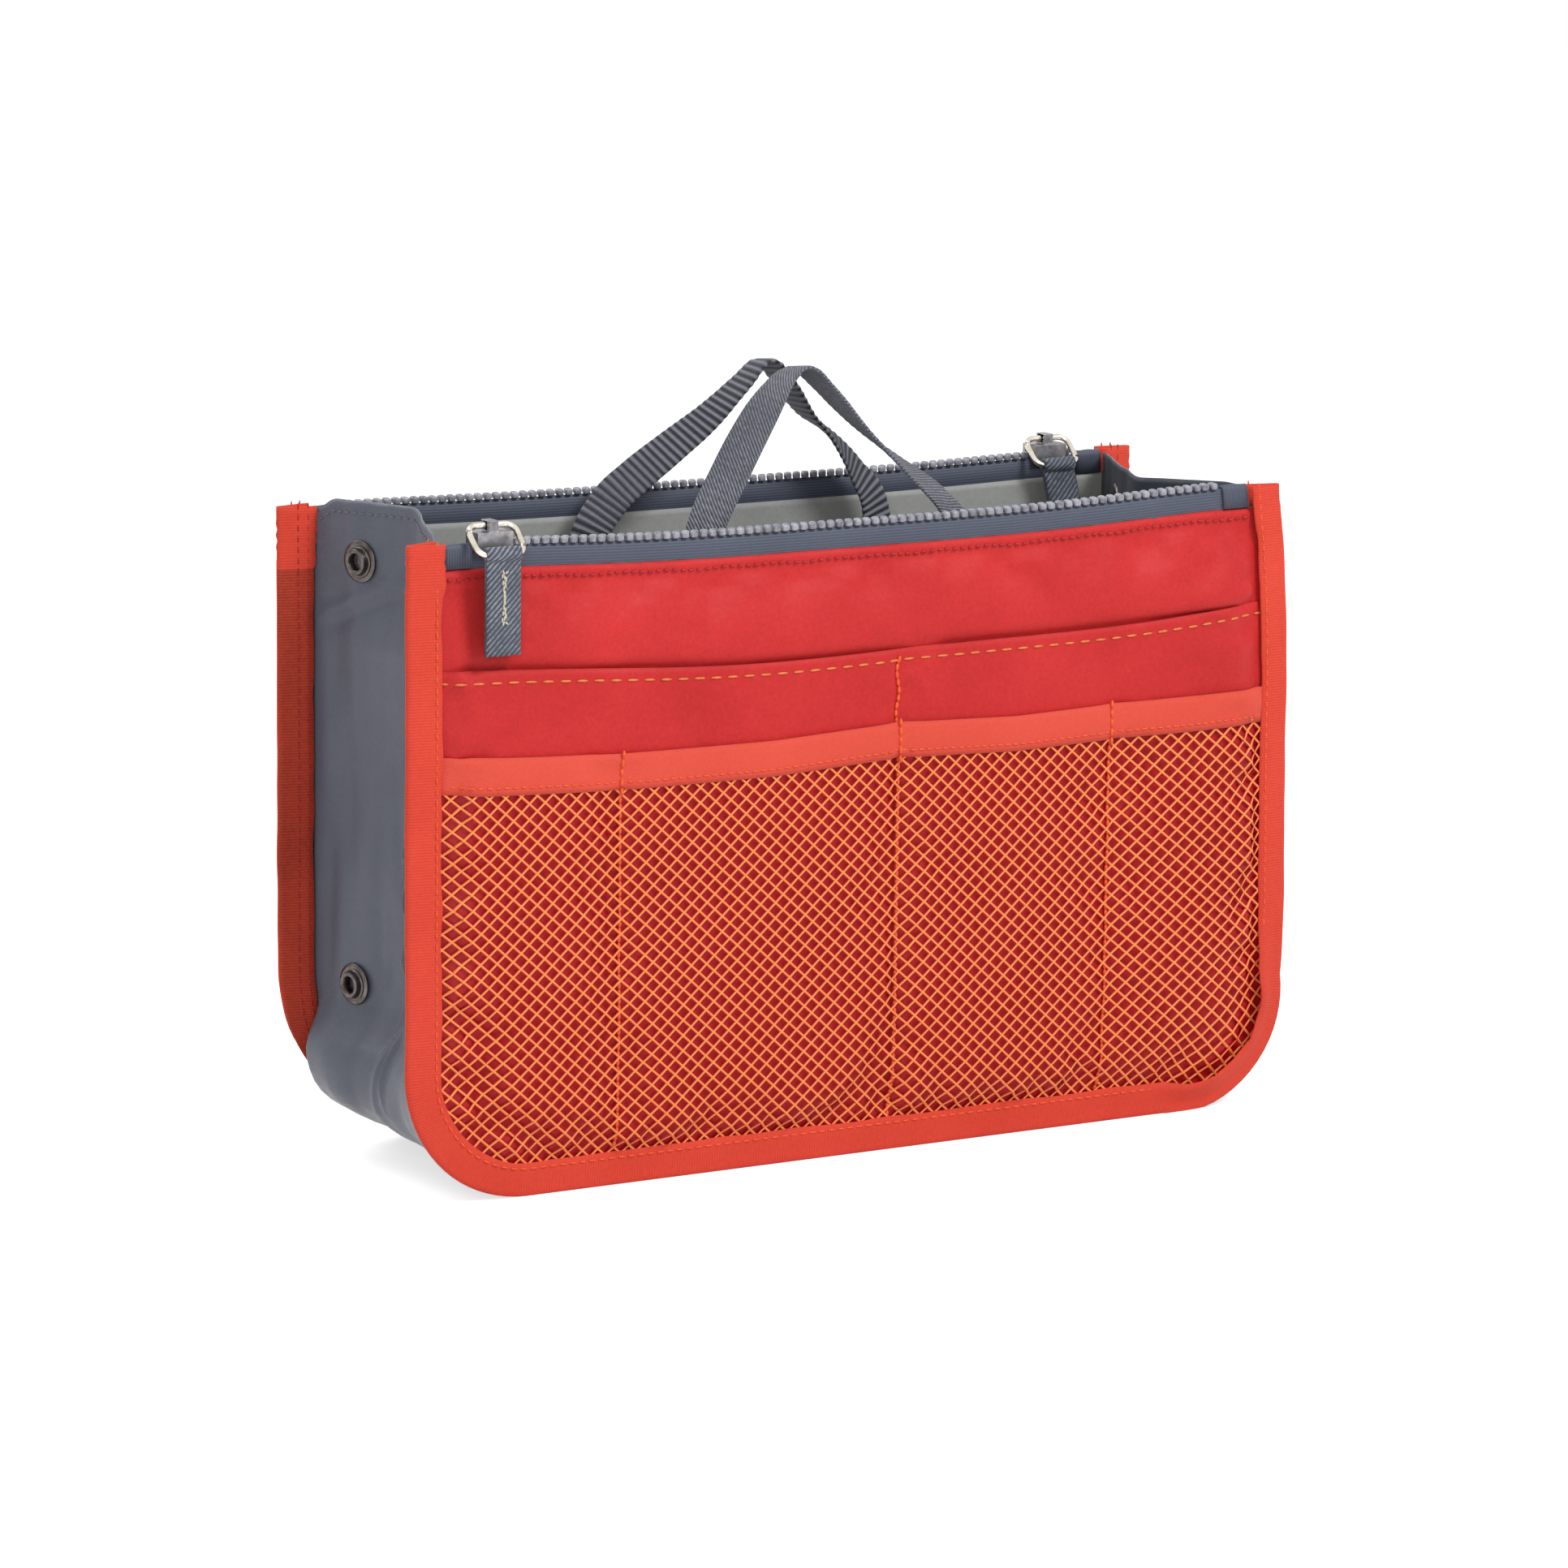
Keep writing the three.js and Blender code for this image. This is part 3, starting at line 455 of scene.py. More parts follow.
def plain_finish(name, colour, worn, roughness, metallic, grain, bump=0.02):
    """A finish without a weave. Grain and bump are in mm; worn is the colour of its darker spots."""
    material, tree, shader = new_material(name)
    spot = add(tree, "ShaderNodeTexCoord")
    cloud = add(tree, "ShaderNodeTexNoise", {"Vector": spot.outputs["Object"]},
                {"Scale": hills(grain), "Detail": 4, "Roughness": 0.6})
    spread = add(tree, "ShaderNodeMapRange", {"Value": cloud.outputs["Fac"]},
                 {"From Min": 0.35, "From Max": 0.75})
    tone = add(tree, "ShaderNodeMix", {"Factor": spread.outputs[0]}, data_type="RGBA")
    tone.inputs["A"].default_value = shade(colour)
    tone.inputs["B"].default_value = shade(worn)
    tree.links.new(tone.outputs["Result"], shader.inputs["Base Color"])
    rough = add(tree, "ShaderNodeMapRange", {"Value": cloud.outputs["Fac"]},
                {"From Min": 0.3, "From Max": 0.7, "To Min": roughness - 0.07, "To Max": roughness + 0.07})
    tree.links.new(rough.outputs[0], shader.inputs["Roughness"])
    grit = add(tree, "ShaderNodeBump", {"Height": cloud.outputs["Fac"]},
               {"Strength": 0.4, "Distance": bump * MM})
    tree.links.new(grit.outputs["Normal"], shader.inputs["Normal"])
    shader.inputs["Metallic"].default_value = metallic
    return material


def thread_finish(name, colour, worn, roughness):
    """Spun sewing thread: soft, with a twist that shows as fine grain."""
    return plain_finish(name, colour, worn, roughness, metallic=0.0, grain=0.667, bump=0.08)


orange_thread = thread_finish("orange_polyester_thread", "#F4652F", "#D64420", 0.6)
dash_thread = thread_finish("amber_polyester_thread", "#E48A48", "#C4642E", 0.6)
red_thread = thread_finish("dark_red_polyester_thread", "#BE2226", "#8E161A", 0.65)
cream_thread = thread_finish("cream_cotton_thread", "#D9D2BE", "#B2AA94", 0.7)
gray_thread = thread_finish("gray_polyester_thread", "#70737C", "#4E5058", 0.65)
# Moulded nylon teeth: light gray, smooth, with darker worn spots
tooth_nylon = plain_finish("gray_nylon_teeth", "#A6A6B0", "#5A5A66", 0.3, metallic=0.0, grain=3.33)
# Nickel-plated wire: bright, warm, fine scratches
nickel_wire = plain_finish("nickel_plated_wire", "#E8E1D4", "#C9C0AE", 0.24, metallic=1.0, grain=2.0)
# Cast zinc of the sliders: the same plating, duller and darker
slider_zinc = plain_finish("dull_nickel_plated_zinc", "#A5A3A6", "#6E6C70", 0.42, metallic=1.0, grain=2.5)
# Black-nickel brass of the press studs: dark, with darker worn spots
black_nickel = plain_finish("black_nickel_brass", "#6C6562", "#3E3937", 0.32, metallic=1.0, grain=2.86)
print("finishes in all:", len(bpy.data.materials))

# %% [markdown]
# Stitches and zip teeth repeat along a line, so Geometry Nodes trees sow them: a tree turns a line
# into points a pitch apart and puts one small shape on each, turned along the line. What a tree
# grows becomes a plain mesh, so that it can be shown and exported as it is.

# %% Growing with trees


def start_tree(name, sizes):
    """A tree with a geometry, the named sizes in metres and a finish as its inputs."""
    tree = bpy.data.node_groups.new(name, "GeometryNodeTree")
    tree.interface.new_socket("Geometry", in_out="INPUT", socket_type="NodeSocketGeometry")
    for size, value in sizes.items():
        tree.interface.new_socket(size, in_out="INPUT", socket_type="NodeSocketFloat").default_value = value
    tree.interface.new_socket("Finish", in_out="INPUT", socket_type="NodeSocketMaterial")
    tree.interface.new_socket("Geometry", in_out="OUTPUT", socket_type="NodeSocketGeometry")
    return tree, add(tree, "NodeGroupInput").outputs


def end_tree(tree, geometry, given):
    """Makes the tree's instances real, smooth and finished, and its result."""
    real = add(tree, "GeometryNodeRealizeInstances", {"Geometry": geometry})
    soft = add(tree, "GeometryNodeSetShadeSmooth", {"Geometry": real.outputs[0]})
    dressed = add(tree, "GeometryNodeSetMaterial",
                  {"Geometry": soft.outputs[0], "Material": given["Finish"]})
    add(tree, "NodeGroupOutput", {"Geometry": dressed.outputs[0]})
    return tree


def grow(name, base, tree, finish, **sizes):
    """Runs a tree on a base object and returns a plain mesh object."""
    modifier = base.modifiers.new("grow", "NODES")
    modifier.node_group = tree
    wanted = {key.replace("_", " "): value for key, value in sizes.items()} | {"Finish": finish}
    for item in tree.interface.items_tree:
        if item.in_out == "INPUT" and item.name in wanted:
            modifier[item.identifier] = wanted[item.name]
    graph = bpy.context.evaluated_depsgraph_get()
    mesh = bpy.data.meshes.new_from_object(base.evaluated_get(graph), depsgraph=graph)
    bpy.data.objects.remove(base)
    piece = bpy.data.objects.new(name, mesh)
    bpy.context.scene.collection.objects.link(piece)
    return piece


def line_object(lines):
    """An object of bare edges through lists of points in metres."""
    points, edges = [], []
    for line in lines:
        start = len(points)
        points += [tuple(p) for p in line]
        edges += [(i, i + 1) for i in range(start, len(points) - 1)]
    mesh = bpy.data.meshes.new("line")
    mesh.from_pydata(points, edges, [])
    base = bpy.data.objects.new("line", mesh)
    bpy.context.scene.collection.objects.link(base)
    return base


print("helpers for trees ready")

# %% [markdown]
# A stitch is a short thread that dives into the cloth at both ends. Only its rounded top shows, so a
# stretched ball of few faces is enough, and hundreds of them stay light.

# %% The stitch tree


def sowing_tree(name, sizes, shape):
    """A tree that sets one shape, stretched to its sizes, every pitch along the base's lines."""
    tree, given = start_tree(name, sizes)
    curve = add(tree, "GeometryNodeMeshToCurve", {"Mesh": given["Geometry"]})
    spaced = add(tree, "GeometryNodeResampleCurve",
                 {"Curve": curve.outputs[0], "Length": given["Pitch"]}, mode="LENGTH")
    spots = add(tree, "GeometryNodeCurveToPoints", {"Curve": spaced.outputs[0]}, mode="EVALUATED")
    turn = add(tree, "FunctionNodeAlignRotationToVector", {"Vector": spots.outputs["Tangent"]}, axis="X")
    size = add(tree, "ShaderNodeCombineXYZ",
               {"X": given["Length"], "Y": given["Width"], "Z": given["Height"]})
    sized = add(tree, "GeometryNodeTransform",
                {"Geometry": shape(tree).outputs[0], "Scale": size.outputs[0]})
    sown = add(tree, "GeometryNodeInstanceOnPoints",
               {"Points": spots.outputs["Points"], "Instance": sized.outputs[0],
                "Rotation": turn.outputs[0]})
    return end_tree(tree, sown.outputs[0], given)


def unit_ball(tree):
    """A ball one metre across, to be stretched to a stitch."""
    return add(tree, "GeometryNodeMeshUVSphere", values={"Segments": 8, "Rings": 5, "Radius": 0.5})


stitch_tree = sowing_tree(
    "stitches", {"Pitch": 3 * MM, "Length": 2.2 * MM, "Width": 0.6 * MM, "Height": 0.6 * MM}, unit_ball)


def stitches(lines, finish, pitch, stitch, thread_width):
    """Rows of thread along lines in metres; the sizes are in mm."""
    return grow("stitch", line_object(lines), stitch_tree, finish, Pitch=pitch * MM,
                Length=stitch * MM, Width=thread_width * MM, Height=thread_width * MM)


print("stitch tree has", len(stitch_tree.nodes), "nodes")

# %% [markdown]
# A panel's cloth layers have one outline: straight sides and round lower corners. A grid follows it
# row by row, each row as wide as the outline is at its height, so the edge stays smooth.

# %% Panel grids
grid_pitch = 1.8
corner_rows = 15


def half_width(z, inset):
    """Half the width at height z of the panel outline drawn in by inset, in mm."""
    corner = corner_radius - inset
    drop = np.clip(corner_radius - z, 0, corner)
    return half_length - corner_radius + np.sqrt(corner**2 - drop**2)


def panel_grid(inset, top, bottom=None):
    """x and z of a grid over the panel outline, drawn in by inset; top may be a function of x."""
    turns = np.linspace(0, np.pi / 2, corner_rows)
    low = corner_radius - (corner_radius - inset) * np.cos(turns)
    level = float(np.max(top(np.linspace(-half_length, half_length, 99)))) if callable(top) else top
    rows = max(2, int(round((level - corner_radius) / grid_pitch)))
    heights = np.concatenate([low, np.linspace(corner_radius, level, rows + 1)[1:]])
    if bottom is not None:
        heights = np.linspace(bottom, level, max(2, int((level - bottom) / grid_pitch)) + 1)
    columns = int(2 * half_length / grid_pitch) + 1
    across = np.linspace(-1, 1, columns)
    z = np.repeat(heights[:, None], columns, 1)
    x = across[None, :] * half_width(z, inset)
    if callable(top):
        start = bottom if bottom is not None else level * 0.5
        z = z + (top(x) - level) * smooth((z - start) / (level - start))
    return x, z


def edge_distance(x, z):
    """How far inside the binding's inner edge a place on the panel is, in mm."""
    inset = binding_width
    side = half_length - inset - np.abs(x)
    base = z - inset
    dx = np.abs(x) - (half_length - corner_radius)
    dz = corner_radius - z
    corner = (corner_radius - inset) - np.hypot(np.clip(dx, 0, None), np.clip(dz, 0, None))
    inside = np.where((dx > 0) & (dz > 0), corner, np.minimum(side, base))
    return np.clip(inside, 0, None)


x, z = panel_grid(cloth_inset, cloth_top)
print("panel grid", x.shape)

# %% [markdown]
# The panel is a thin pad: satin over foam, sewn down all round and along the stitch row under the
# zip. A cloth simulation blows it up a little, and the cloth's own shrinkage along the seams gives
# the puckers. It runs on a flat sheet, and both panels use the heights that it leaves.

# %% Puff of the padded panel
puff_cap = 3.0
mouth_cap = 1.5
simulation_pitch = 4.0
last_frame = 20
seams = (-78.7, 11.3, 81.7)
seam_hold = 2.1
seam_top = 145.0
outer_seam_top = 122
slip_reach = slip_top + 2


def blown(name, top, is_held, growth, cap):
    """Heights in mm that a flat sheet takes when air fills it, as a function of x and z."""
    columns = np.arange(-half_length + binding_width, half_length - binding_width + 0.1, simulation_pitch)
    rows = np.linspace(binding_width, top, int((top - binding_width) / simulation_pitch) + 1)
    x, z = np.meshgrid(columns, rows)
    lift = 0.12 * ripple(stacked(x, 0, z), 14, 8.0)
    points = stacked(x, z, lift).reshape(-1, 3) * MM
    faces = [(a, a + 1, a + 1 + len(columns), a + len(columns))
             for row in range(len(rows) - 1)
             for a in range(row * len(columns), (row + 1) * len(columns) - 1)]
    mesh = bpy.data.meshes.new(name)
    mesh.from_pydata([tuple(p) for p in points], [], faces)
    sheet = bpy.data.objects.new(name, mesh)
    bpy.context.scene.collection.objects.link(sheet)
    held = sheet.vertex_groups.new(name="held")
    held.add([int(i) for i in np.flatnonzero(is_held(x, z).ravel())], 1.0, "REPLACE")
    cloth = sheet.modifiers.new("cloth", "CLOTH")
    cloth.settings.quality = 6
    cloth.settings.mass = 0.15
    cloth.settings.use_pressure = True
    cloth.settings.uniform_pressure_force = 4
    cloth.settings.shrink_min = -growth
    cloth.settings.bending_stiffness = 0.15
    cloth.settings.air_damping = 6
    cloth.settings.effector_weights.gravity = 0
    cloth.settings.vertex_group_mass = "held"
    cloth.point_cache.frame_start = 1
    cloth.point_cache.frame_end = last_frame
    for frame_number in range(1, last_frame + 1):
        bpy.context.scene.frame_set(frame_number)
    graph = bpy.context.evaluated_depsgraph_get()
    settled = sheet.evaluated_get(graph).data
    after = np.array([v.co for v in settled.vertices], float)[:, 2].reshape(x.shape) / MM
    bpy.data.objects.remove(sheet)
    bpy.context.scene.frame_set(1)
    heights = cap * np.tanh(np.clip(after, -0.4, None) / cap)
    print(name, "rises", round(float(after.max()), 2), "mm, capped to", round(float(heights.max()), 2))

    def height(px, pz):
        """The sheet's height between the simulated points."""
        px, pz = np.broadcast_arrays(np.asarray(px, float), np.asarray(pz, float))
        u = np.clip((px - columns[0]) / simulation_pitch, 0, len(columns) - 1.001)
        v = np.clip((pz - rows[0]) / (rows[1] - rows[0]), 0, len(rows) - 1.001)
        i, j = u.astype(int), v.astype(int)
        s, t = smooth(u - i), smooth(v - j)
        low = heights[j, i] * (1 - s) + heights[j, i + 1] * s
        high = heights[j + 1, i] * (1 - s) + heights[j + 1, i + 1] * s
        return low * (1 - t) + high * t

    return height


print("the pad may rise by", puff_cap, "mm and the slip pocket by", mouth_cap, "mm")

# %% [markdown]
# The pad is held along its rim and under the zip, the slip pocket along its rim and three upright
# seams, and the simulation runs once for each. Rows of stitches also gather the cloth beside them,
# which slow noise along the row draws well enough.

# %% Heights of the pad and the slip pocket


def pad_held(x, z):
    """Where the pad's sheet is sewn down."""
    return (edge_distance(x, z) < 2) | (z > stitch_row - 2)


def slip_held(x, z):
    """Where the slip pocket's sheet is sewn down."""
    left, centre, right = (np.abs(x - seam) < seam_hold for seam in seams)
    sewn = (centre & (z < seam_top)) | ((left | right) & (z < outer_seam_top))
    return (edge_distance(x, z) < 2) | sewn


pad_height = blown("pad", stitch_row + 4, pad_held, 0.045, puff_cap)
slip_height = blown("slip", slip_reach, slip_held, 0.04, mouth_cap)


def pucker(x, z):
    """Small gathers that a row of stitches pulls into the cloth beside it."""
    under_zip = np.exp(-np.abs(stitch_row - z) / 6) * ripple(stacked(x, 0, 0 * z), 4.6, 11.0)
    at_side = np.exp(-edge_distance(x, z) / 5) * ripple(stacked(0 * x, 0, z), 5.2, 13.0)
    return 0.9 * under_zip + 0.6 * at_side


def puff(x, z):
    """How far the padded cloth stands out: its swell, its gathers and the rise above the zip seam."""
    x, z = np.broadcast_arrays(np.asarray(x, float), np.asarray(z, float))
    above = np.clip(cloth_top - z, 0, None) * np.clip(z - stitch_row, 0, None) * 0.12
    inside = smooth(edge_distance(x, z) / 3)
    below = np.where(z < stitch_row, pad_height(x, z), 0)
    return inside * (below + pucker(x, z)) + above


print("puff in the middle", round(float(puff(np.array(0.0), np.array(100.0))), 2), "mm")

# %% [markdown]
# The layers of a panel lie on each other: cloth, slip pocket, net. Each one's surface is the puff
# plus its own play, and never nearer to the layer below than that layer is thick.

# %% Surfaces of the layers
def pocket_top(x):
    """Upper edge of the slip pocket, which dips in the middle."""
    return slip_top + 0.6 - 2.6 * np.clip(1 - (x / 130) ** 2, 0, 1) + 0.5 * np.sin(x / 21)


def hem_upper(x):
    """Upper edge of the net's hem: it hangs between the seams that hold it."""
    marks = [-132, -78.7, -30, 11.3, 50, 81.7, 132]
    heights = [126.9, 124.6, 124.4, 126.3, 124.9, 125.6, 125.4]
    return np.interp(x, marks, heights)


def between_seams(x):
    """1 midway between two seams of the net pocket and 0 on a seam or at the edge."""
    ends = (-half_length + binding_width, *seams, half_length - binding_width)
    x = np.asarray(x, float)
    value = np.zeros_like(x)
    for low, high in zip(ends, ends[1:]):
        share = np.clip((x - low) / (high - low), 0, 1)
        value = np.maximum(value, np.sin(np.pi * share) ** 0.8)
    return value


overhang_size, right_overhang = 1.7, 1.1


def overhang(x, z):
    """The pad bulges over the slip pocket's upper edge, most at the right end."""
    above = z - pocket_top(x)
    rise = smooth((above - 0.2) / 1.8) * (1 - smooth((above - 3) / 20))
    size = overhang_size + right_overhang * smooth((x - 85) / 30)
    return size * rise * smooth((edge_distance(x, z) - 0.5) / 6)


def cloth_at(x, z):
    """Outward distance of the padded cloth's face, in mm, as for the layers below."""
    return cloth_face + puff(x, z) + overhang(x, z)


def slip_at(x, z):
    inside = smooth(edge_distance(x, z) / 5)
    play = np.clip(slip_height(x, z), 0, None)
    gather = 0.3 * np.exp(-np.abs(pocket_top(x) - 4 - z) / 5) * ripple(stacked(x, 0, 0 * z), 5.0, 17.0)
    on_seam = 0.5 * np.exp(-((x - seams[1]) / 1.6) ** 2) * smooth((seam_top - z) / 3)
    return slip_face + puff(x, z) + inside * (0.2 + play + gather - on_seam)


def net_at(x, z):
    inside = smooth(edge_distance(x, z) / 14)
    fullness = between_seams(x) * np.clip((hem_upper(x) - z) / 20, 0, 1)
    clear = slip_at(x, z) + net_face - slip_face
    return np.maximum(net_face + puff(x, z) + inside * (0.45 + 1.5 * fullness), clear + 0.15 * inside)


def hem_at(x, z):
    return net_at(x, z) + 0.75 * smooth(edge_distance(x, z) / 4)


spot_x, spot_z = np.array(50.0), np.array(70.0)
print("net stands", round(float(net_at(spot_x, spot_z) - slip_at(spot_x, spot_z)), 2), "mm off the pocket")

# %% [markdown]
# Now the panel's cloth. The outer satin and the foam are one pad, closed all round, thinner above the
# foam where the zip tape is sewn in. The slip pocket is a single satin sheet; of its folded top hem
# only the row of stitches below the edge is drawn.

# %% Pads, slip pockets, linings
pieces = {}
slip_thickness = 0.45


def finish_piece(panel, kind, piece, nodes=(), body=None):
    """Names a piece, gives it its body, hides the CAD nodes that it stands for and keeps it among the
    pieces.
    """
    piece.name = f"{panel}_{kind}" if panel else kind
    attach(piece, body or f"{panel}_half")
    if nodes:
        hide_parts(*nodes)
    pieces[piece.name] = piece
    return piece


def flat_of(x, z):
    """Width and length of the cut, and its area, from a grid in mm."""
    width, length = np.ptp(x) * MM, np.ptp(z) * MM
    rows = (np.abs(x[1:, -1] - x[1:, 0]) + np.abs(x[:-1, -1] - x[:-1, 0])) / 2
    area = float((rows * np.diff(z.mean(1))).sum()) * MM * MM
    return (width, length), min(area, width * length)


def gape_at(x, z):
    """How far the inner pocket's mouth stands open: in three soft waves, given as size, place, reach."""
    waves = ((1.0, 5, 26), (0.5, -78, 22), (0.4, 92, 20))
    wave = sum(size * np.exp(-((x - at) / reach) ** 4) for size, at, reach in waves)
    return 2.6 * smooth((z - inner_pocket_top + 26) / 26) * wave


def layer_sheet(name, panel, x, z, outer_d, inner_d, finish):
    """A closed sheet between two surfaces of a panel, whose UV map is the cloth laid flat."""
    outer = place(panel, stacked(x, outer_d, z))
    inner = place(panel, stacked(x, inner_d, z))
    return slab(name, outer, inner, finish, np.stack([x, z], -1) * MM)


for panel in ("front", "back"):
    x, z = panel_grid(cloth_inset, cloth_top)
    foam = smooth((edge_distance(x, z) - 1) / 4) * smooth((foam_top - z) / 4)
    under = cloth_inner - (cloth_inner - foam_inner) * foam
    pad = layer_sheet("pad", panel, x, z, cloth_at(x, z), under, red_satin)
    finish_piece(panel, "padded_cloth", pad, (f"{panel}_outer_cloth", f"{panel}_foam"))

    x, z = panel_grid(cloth_inset, pocket_top)
    slip = layer_sheet("slip", panel, x, z, slip_at(x, z), slip_at(x, z) - slip_thickness, red_satin)
    if panel == "front":
        slip.data.materials.append(shaded_satin)
        for face in slip.data.polygons:
            face.material_index = int(face.center.z < (hem_bottom + 1) * MM)
    finish_piece(panel, "slip_pocket_cloth", slip, (f"{panel}_slip_pocket",))
    flat, area = flat_of(x, z)

    x, z = panel_grid(cloth_inset, cloth_top)
    play = 0.12 * ripple(stacked(x, 0, z), 22, 3.0) * smooth(edge_distance(x, z) / 10)
    lining = layer_sheet("lining", panel, x, z, lining_face - 0.12 + play, lining_inner + 0.12 + play,
                         gray_lining)
    finish_piece(panel, "lining_cloth", lining, (f"{panel}_lining",))
    flat, area = flat_of(x, z)

    x, z = panel_grid(binding_width + 1.1, inner_pocket_top)
    gape = gape_at(x, z)
    pocket = layer_sheet("pocket", panel, x, z, pocket_face - 0.05 - gape, pocket_inner + 0.05 - gape,
                         gray_lining)
    finish_piece(panel, "inner_pocket_cloth", pocket, (f"{panel}_inner_pocket",))
    flat, area = flat_of(x, z)
print("pieces so far", len(pieces))

# %% [markdown]
# The net pocket is knitted net: a lattice of slanting threads with a small knot at each crossing. The
# tree lays out a square grid, turns it by 45 degrees, stretches it to the net's diamonds, cuts it to
# the panel's outline and wraps a thread round every edge. Python then bends it onto the panel and
# notes in the attribute outward which side of a thread faces out, where the net's finish paints a
# highlight.

# %% The net tree
net_pitch_x = 4.9
net_pitch_z = 4.4
net_thread_width = 0.92
net_knot = 1.3
net_flatness = 0.6
net_stand = 0.25
net_inset = 5.0

net_tree, given = start_tree("net", {
    "Pitch X": net_pitch_x * MM, "Pitch Z": net_pitch_z * MM, "Thread": net_thread_width * MM,
    "Knot": net_knot * MM, "Half Length": (half_length - net_inset) * MM, "Top": hem_bottom * MM,
    "Corner": (corner_radius - net_inset) * MM})
cells = 88
grid = add(net_tree, "GeometryNodeMeshGrid",
           values={"Size X": cells, "Size Y": cells, "Vertices X": cells + 1, "Vertices Y": cells + 1})
stretch = math.sqrt(0.5)
wide = add(net_tree, "ShaderNodeMath", {0: given["Pitch X"]}, {1: stretch}, operation="MULTIPLY")
tall = add(net_tree, "ShaderNodeMath", {0: given["Pitch Z"]}, {1: stretch}, operation="MULTIPLY")
turned = add(net_tree, "GeometryNodeTransform", {"Geometry": grid.outputs["Mesh"]},
             {"Rotation": (0, 0, math.pi / 4)})
steps = add(net_tree, "ShaderNodeCombineXYZ", {"X": wide.outputs[0], "Y": tall.outputs[0]}, {"Z": 1})
half_top = add(net_tree, "ShaderNodeMath", {0: given["Top"]}, {1: 0.5}, operation="MULTIPLY")
lift = add(net_tree, "ShaderNodeCombineXYZ", {"Y": half_top.outputs[0]})
laid = add(net_tree, "GeometryNodeTransform",
           {"Geometry": turned.outputs[0], "Scale": steps.outputs[0], "Translation": lift.outputs[0]})
position = add(net_tree, "GeometryNodeInputPosition")
here = add(net_tree, "ShaderNodeSeparateXYZ", {"Vector": position.outputs[0]})
reach = add(net_tree, "ShaderNodeMath", {0: here.outputs["X"]}, operation="ABSOLUTE")
over = add(net_tree, "ShaderNodeMath", {0: reach.outputs[0], 1: given["Half Length"]}, operation="SUBTRACT")
past_corner = add(net_tree, "ShaderNodeMath", {0: over.outputs[0], 1: given["Corner"]}, operation="ADD")
under = add(net_tree, "ShaderNodeMath", {0: given["Corner"], 1: here.outputs["Y"]}, operation="SUBTRACT")
clip_x = add(net_tree, "ShaderNodeMath", {0: past_corner.outputs[0]}, {1: 0}, operation="MAXIMUM")
clip_z = add(net_tree, "ShaderNodeMath", {0: under.outputs[0]}, {1: 0}, operation="MAXIMUM")
away = add(net_tree, "ShaderNodeCombineXYZ", {"X": clip_x.outputs[0], "Y": clip_z.outputs[0]})
far = add(net_tree, "ShaderNodeVectorMath", {0: away.outputs[0]}, operation="LENGTH")
beyond = add(net_tree, "FunctionNodeCompare", {"A": far.outputs["Value"], "B": given["Corner"]},
             data_type="FLOAT", operation="GREATER_THAN")
above = add(net_tree, "FunctionNodeCompare", {"A": here.outputs["Y"], "B": given["Top"]},
            data_type="FLOAT", operation="GREATER_THAN")
outside = add(net_tree, "FunctionNodeBooleanMath", {0: beyond.outputs[0], 1: above.outputs[0]},
              operation="OR")
trimmed = add(net_tree, "GeometryNodeDeleteGeometry",
              {"Geometry": laid.outputs[0], "Selection": outside.outputs[0]}, domain="POINT")
runs = add(net_tree, "GeometryNodeMeshToCurve", {"Mesh": trimmed.outputs[0]})
half_thread = add(net_tree, "ShaderNodeMath", {0: given["Thread"]}, {1: 0.5}, operation="MULTIPLY")
cross_section = add(net_tree, "GeometryNodeCurvePrimitiveCircle", {"Radius": half_thread.outputs[0]},
                    {"Resolution": 5})
tubes = add(net_tree, "GeometryNodeCurveToMesh",
            {"Curve": runs.outputs[0], "Profile Curve": cross_section.outputs[0]})
knot_ball = add(net_tree, "GeometryNodeMeshUVSphere", values={"Segments": 6, "Rings": 4, "Radius": 0.5})
knot_size = add(net_tree, "ShaderNodeCombineXYZ",
                {"X": given["Knot"], "Y": given["Knot"], "Z": given["Thread"]})
knot = add(net_tree, "GeometryNodeTransform",
           {"Geometry": knot_ball.outputs[0], "Scale": knot_size.outputs[0]})
knots = add(net_tree, "GeometryNodeInstanceOnPoints",
            {"Points": trimmed.outputs[0], "Instance": knot.outputs[0]})
whole = add(net_tree, "GeometryNodeJoinGeometry")
net_tree.links.new(tubes.outputs[0], whole.inputs[0])
net_tree.links.new(knots.outputs[0], whole.inputs[0])
end_tree(net_tree, whole.outputs[0], given)
print("net tree has", len(net_tree.nodes), "nodes")

# %% [markdown]
# The tree has grown the net flat. Each of its points now goes to its place on the pocket's swelling
# surface, which keeps the crossing threads over and under each other. The hem is a folded tape over
# the net's upper edge: a thin sheet, a little thicker in its middle where it hangs free.

# %% Net and its hem
empty_mesh = bpy.data.objects.new("seed", bpy.data.meshes.new("seed"))
bpy.context.scene.collection.objects.link(empty_mesh)
net = grow("net", empty_mesh, net_tree, net_thread, Pitch_X=net_pitch_x * MM, Pitch_Z=net_pitch_z * MM,
           Thread=net_thread_width * MM, Knot=net_knot * MM, Half_Length=(half_length - net_inset) * MM,
           Top=(hem_upper(np.array(0.0)) - net_inset - 2) * MM, Corner=(corner_radius - net_inset) * MM)
flat = np.array([v.co for v in net.data.vertices], float) / MM
x, z, offset = flat[:, 0], flat[:, 1] + net_inset, flat[:, 2]
bent = place("front", stacked(x, net_at(x, z) + net_stand + net_flatness * offset, z))
net.data.vertices.foreach_set("co", bent.astype(np.float32).ravel())
layer = net.data.uv_layers.new(name="cloth")
corner = np.zeros(len(net.data.loops), int)
net.data.loops.foreach_get("vertex_index", corner)
layer.data.foreach_set("uv", (np.stack([x, z], -1)[corner] * MM).astype(np.float32).ravel())
net.data.update()
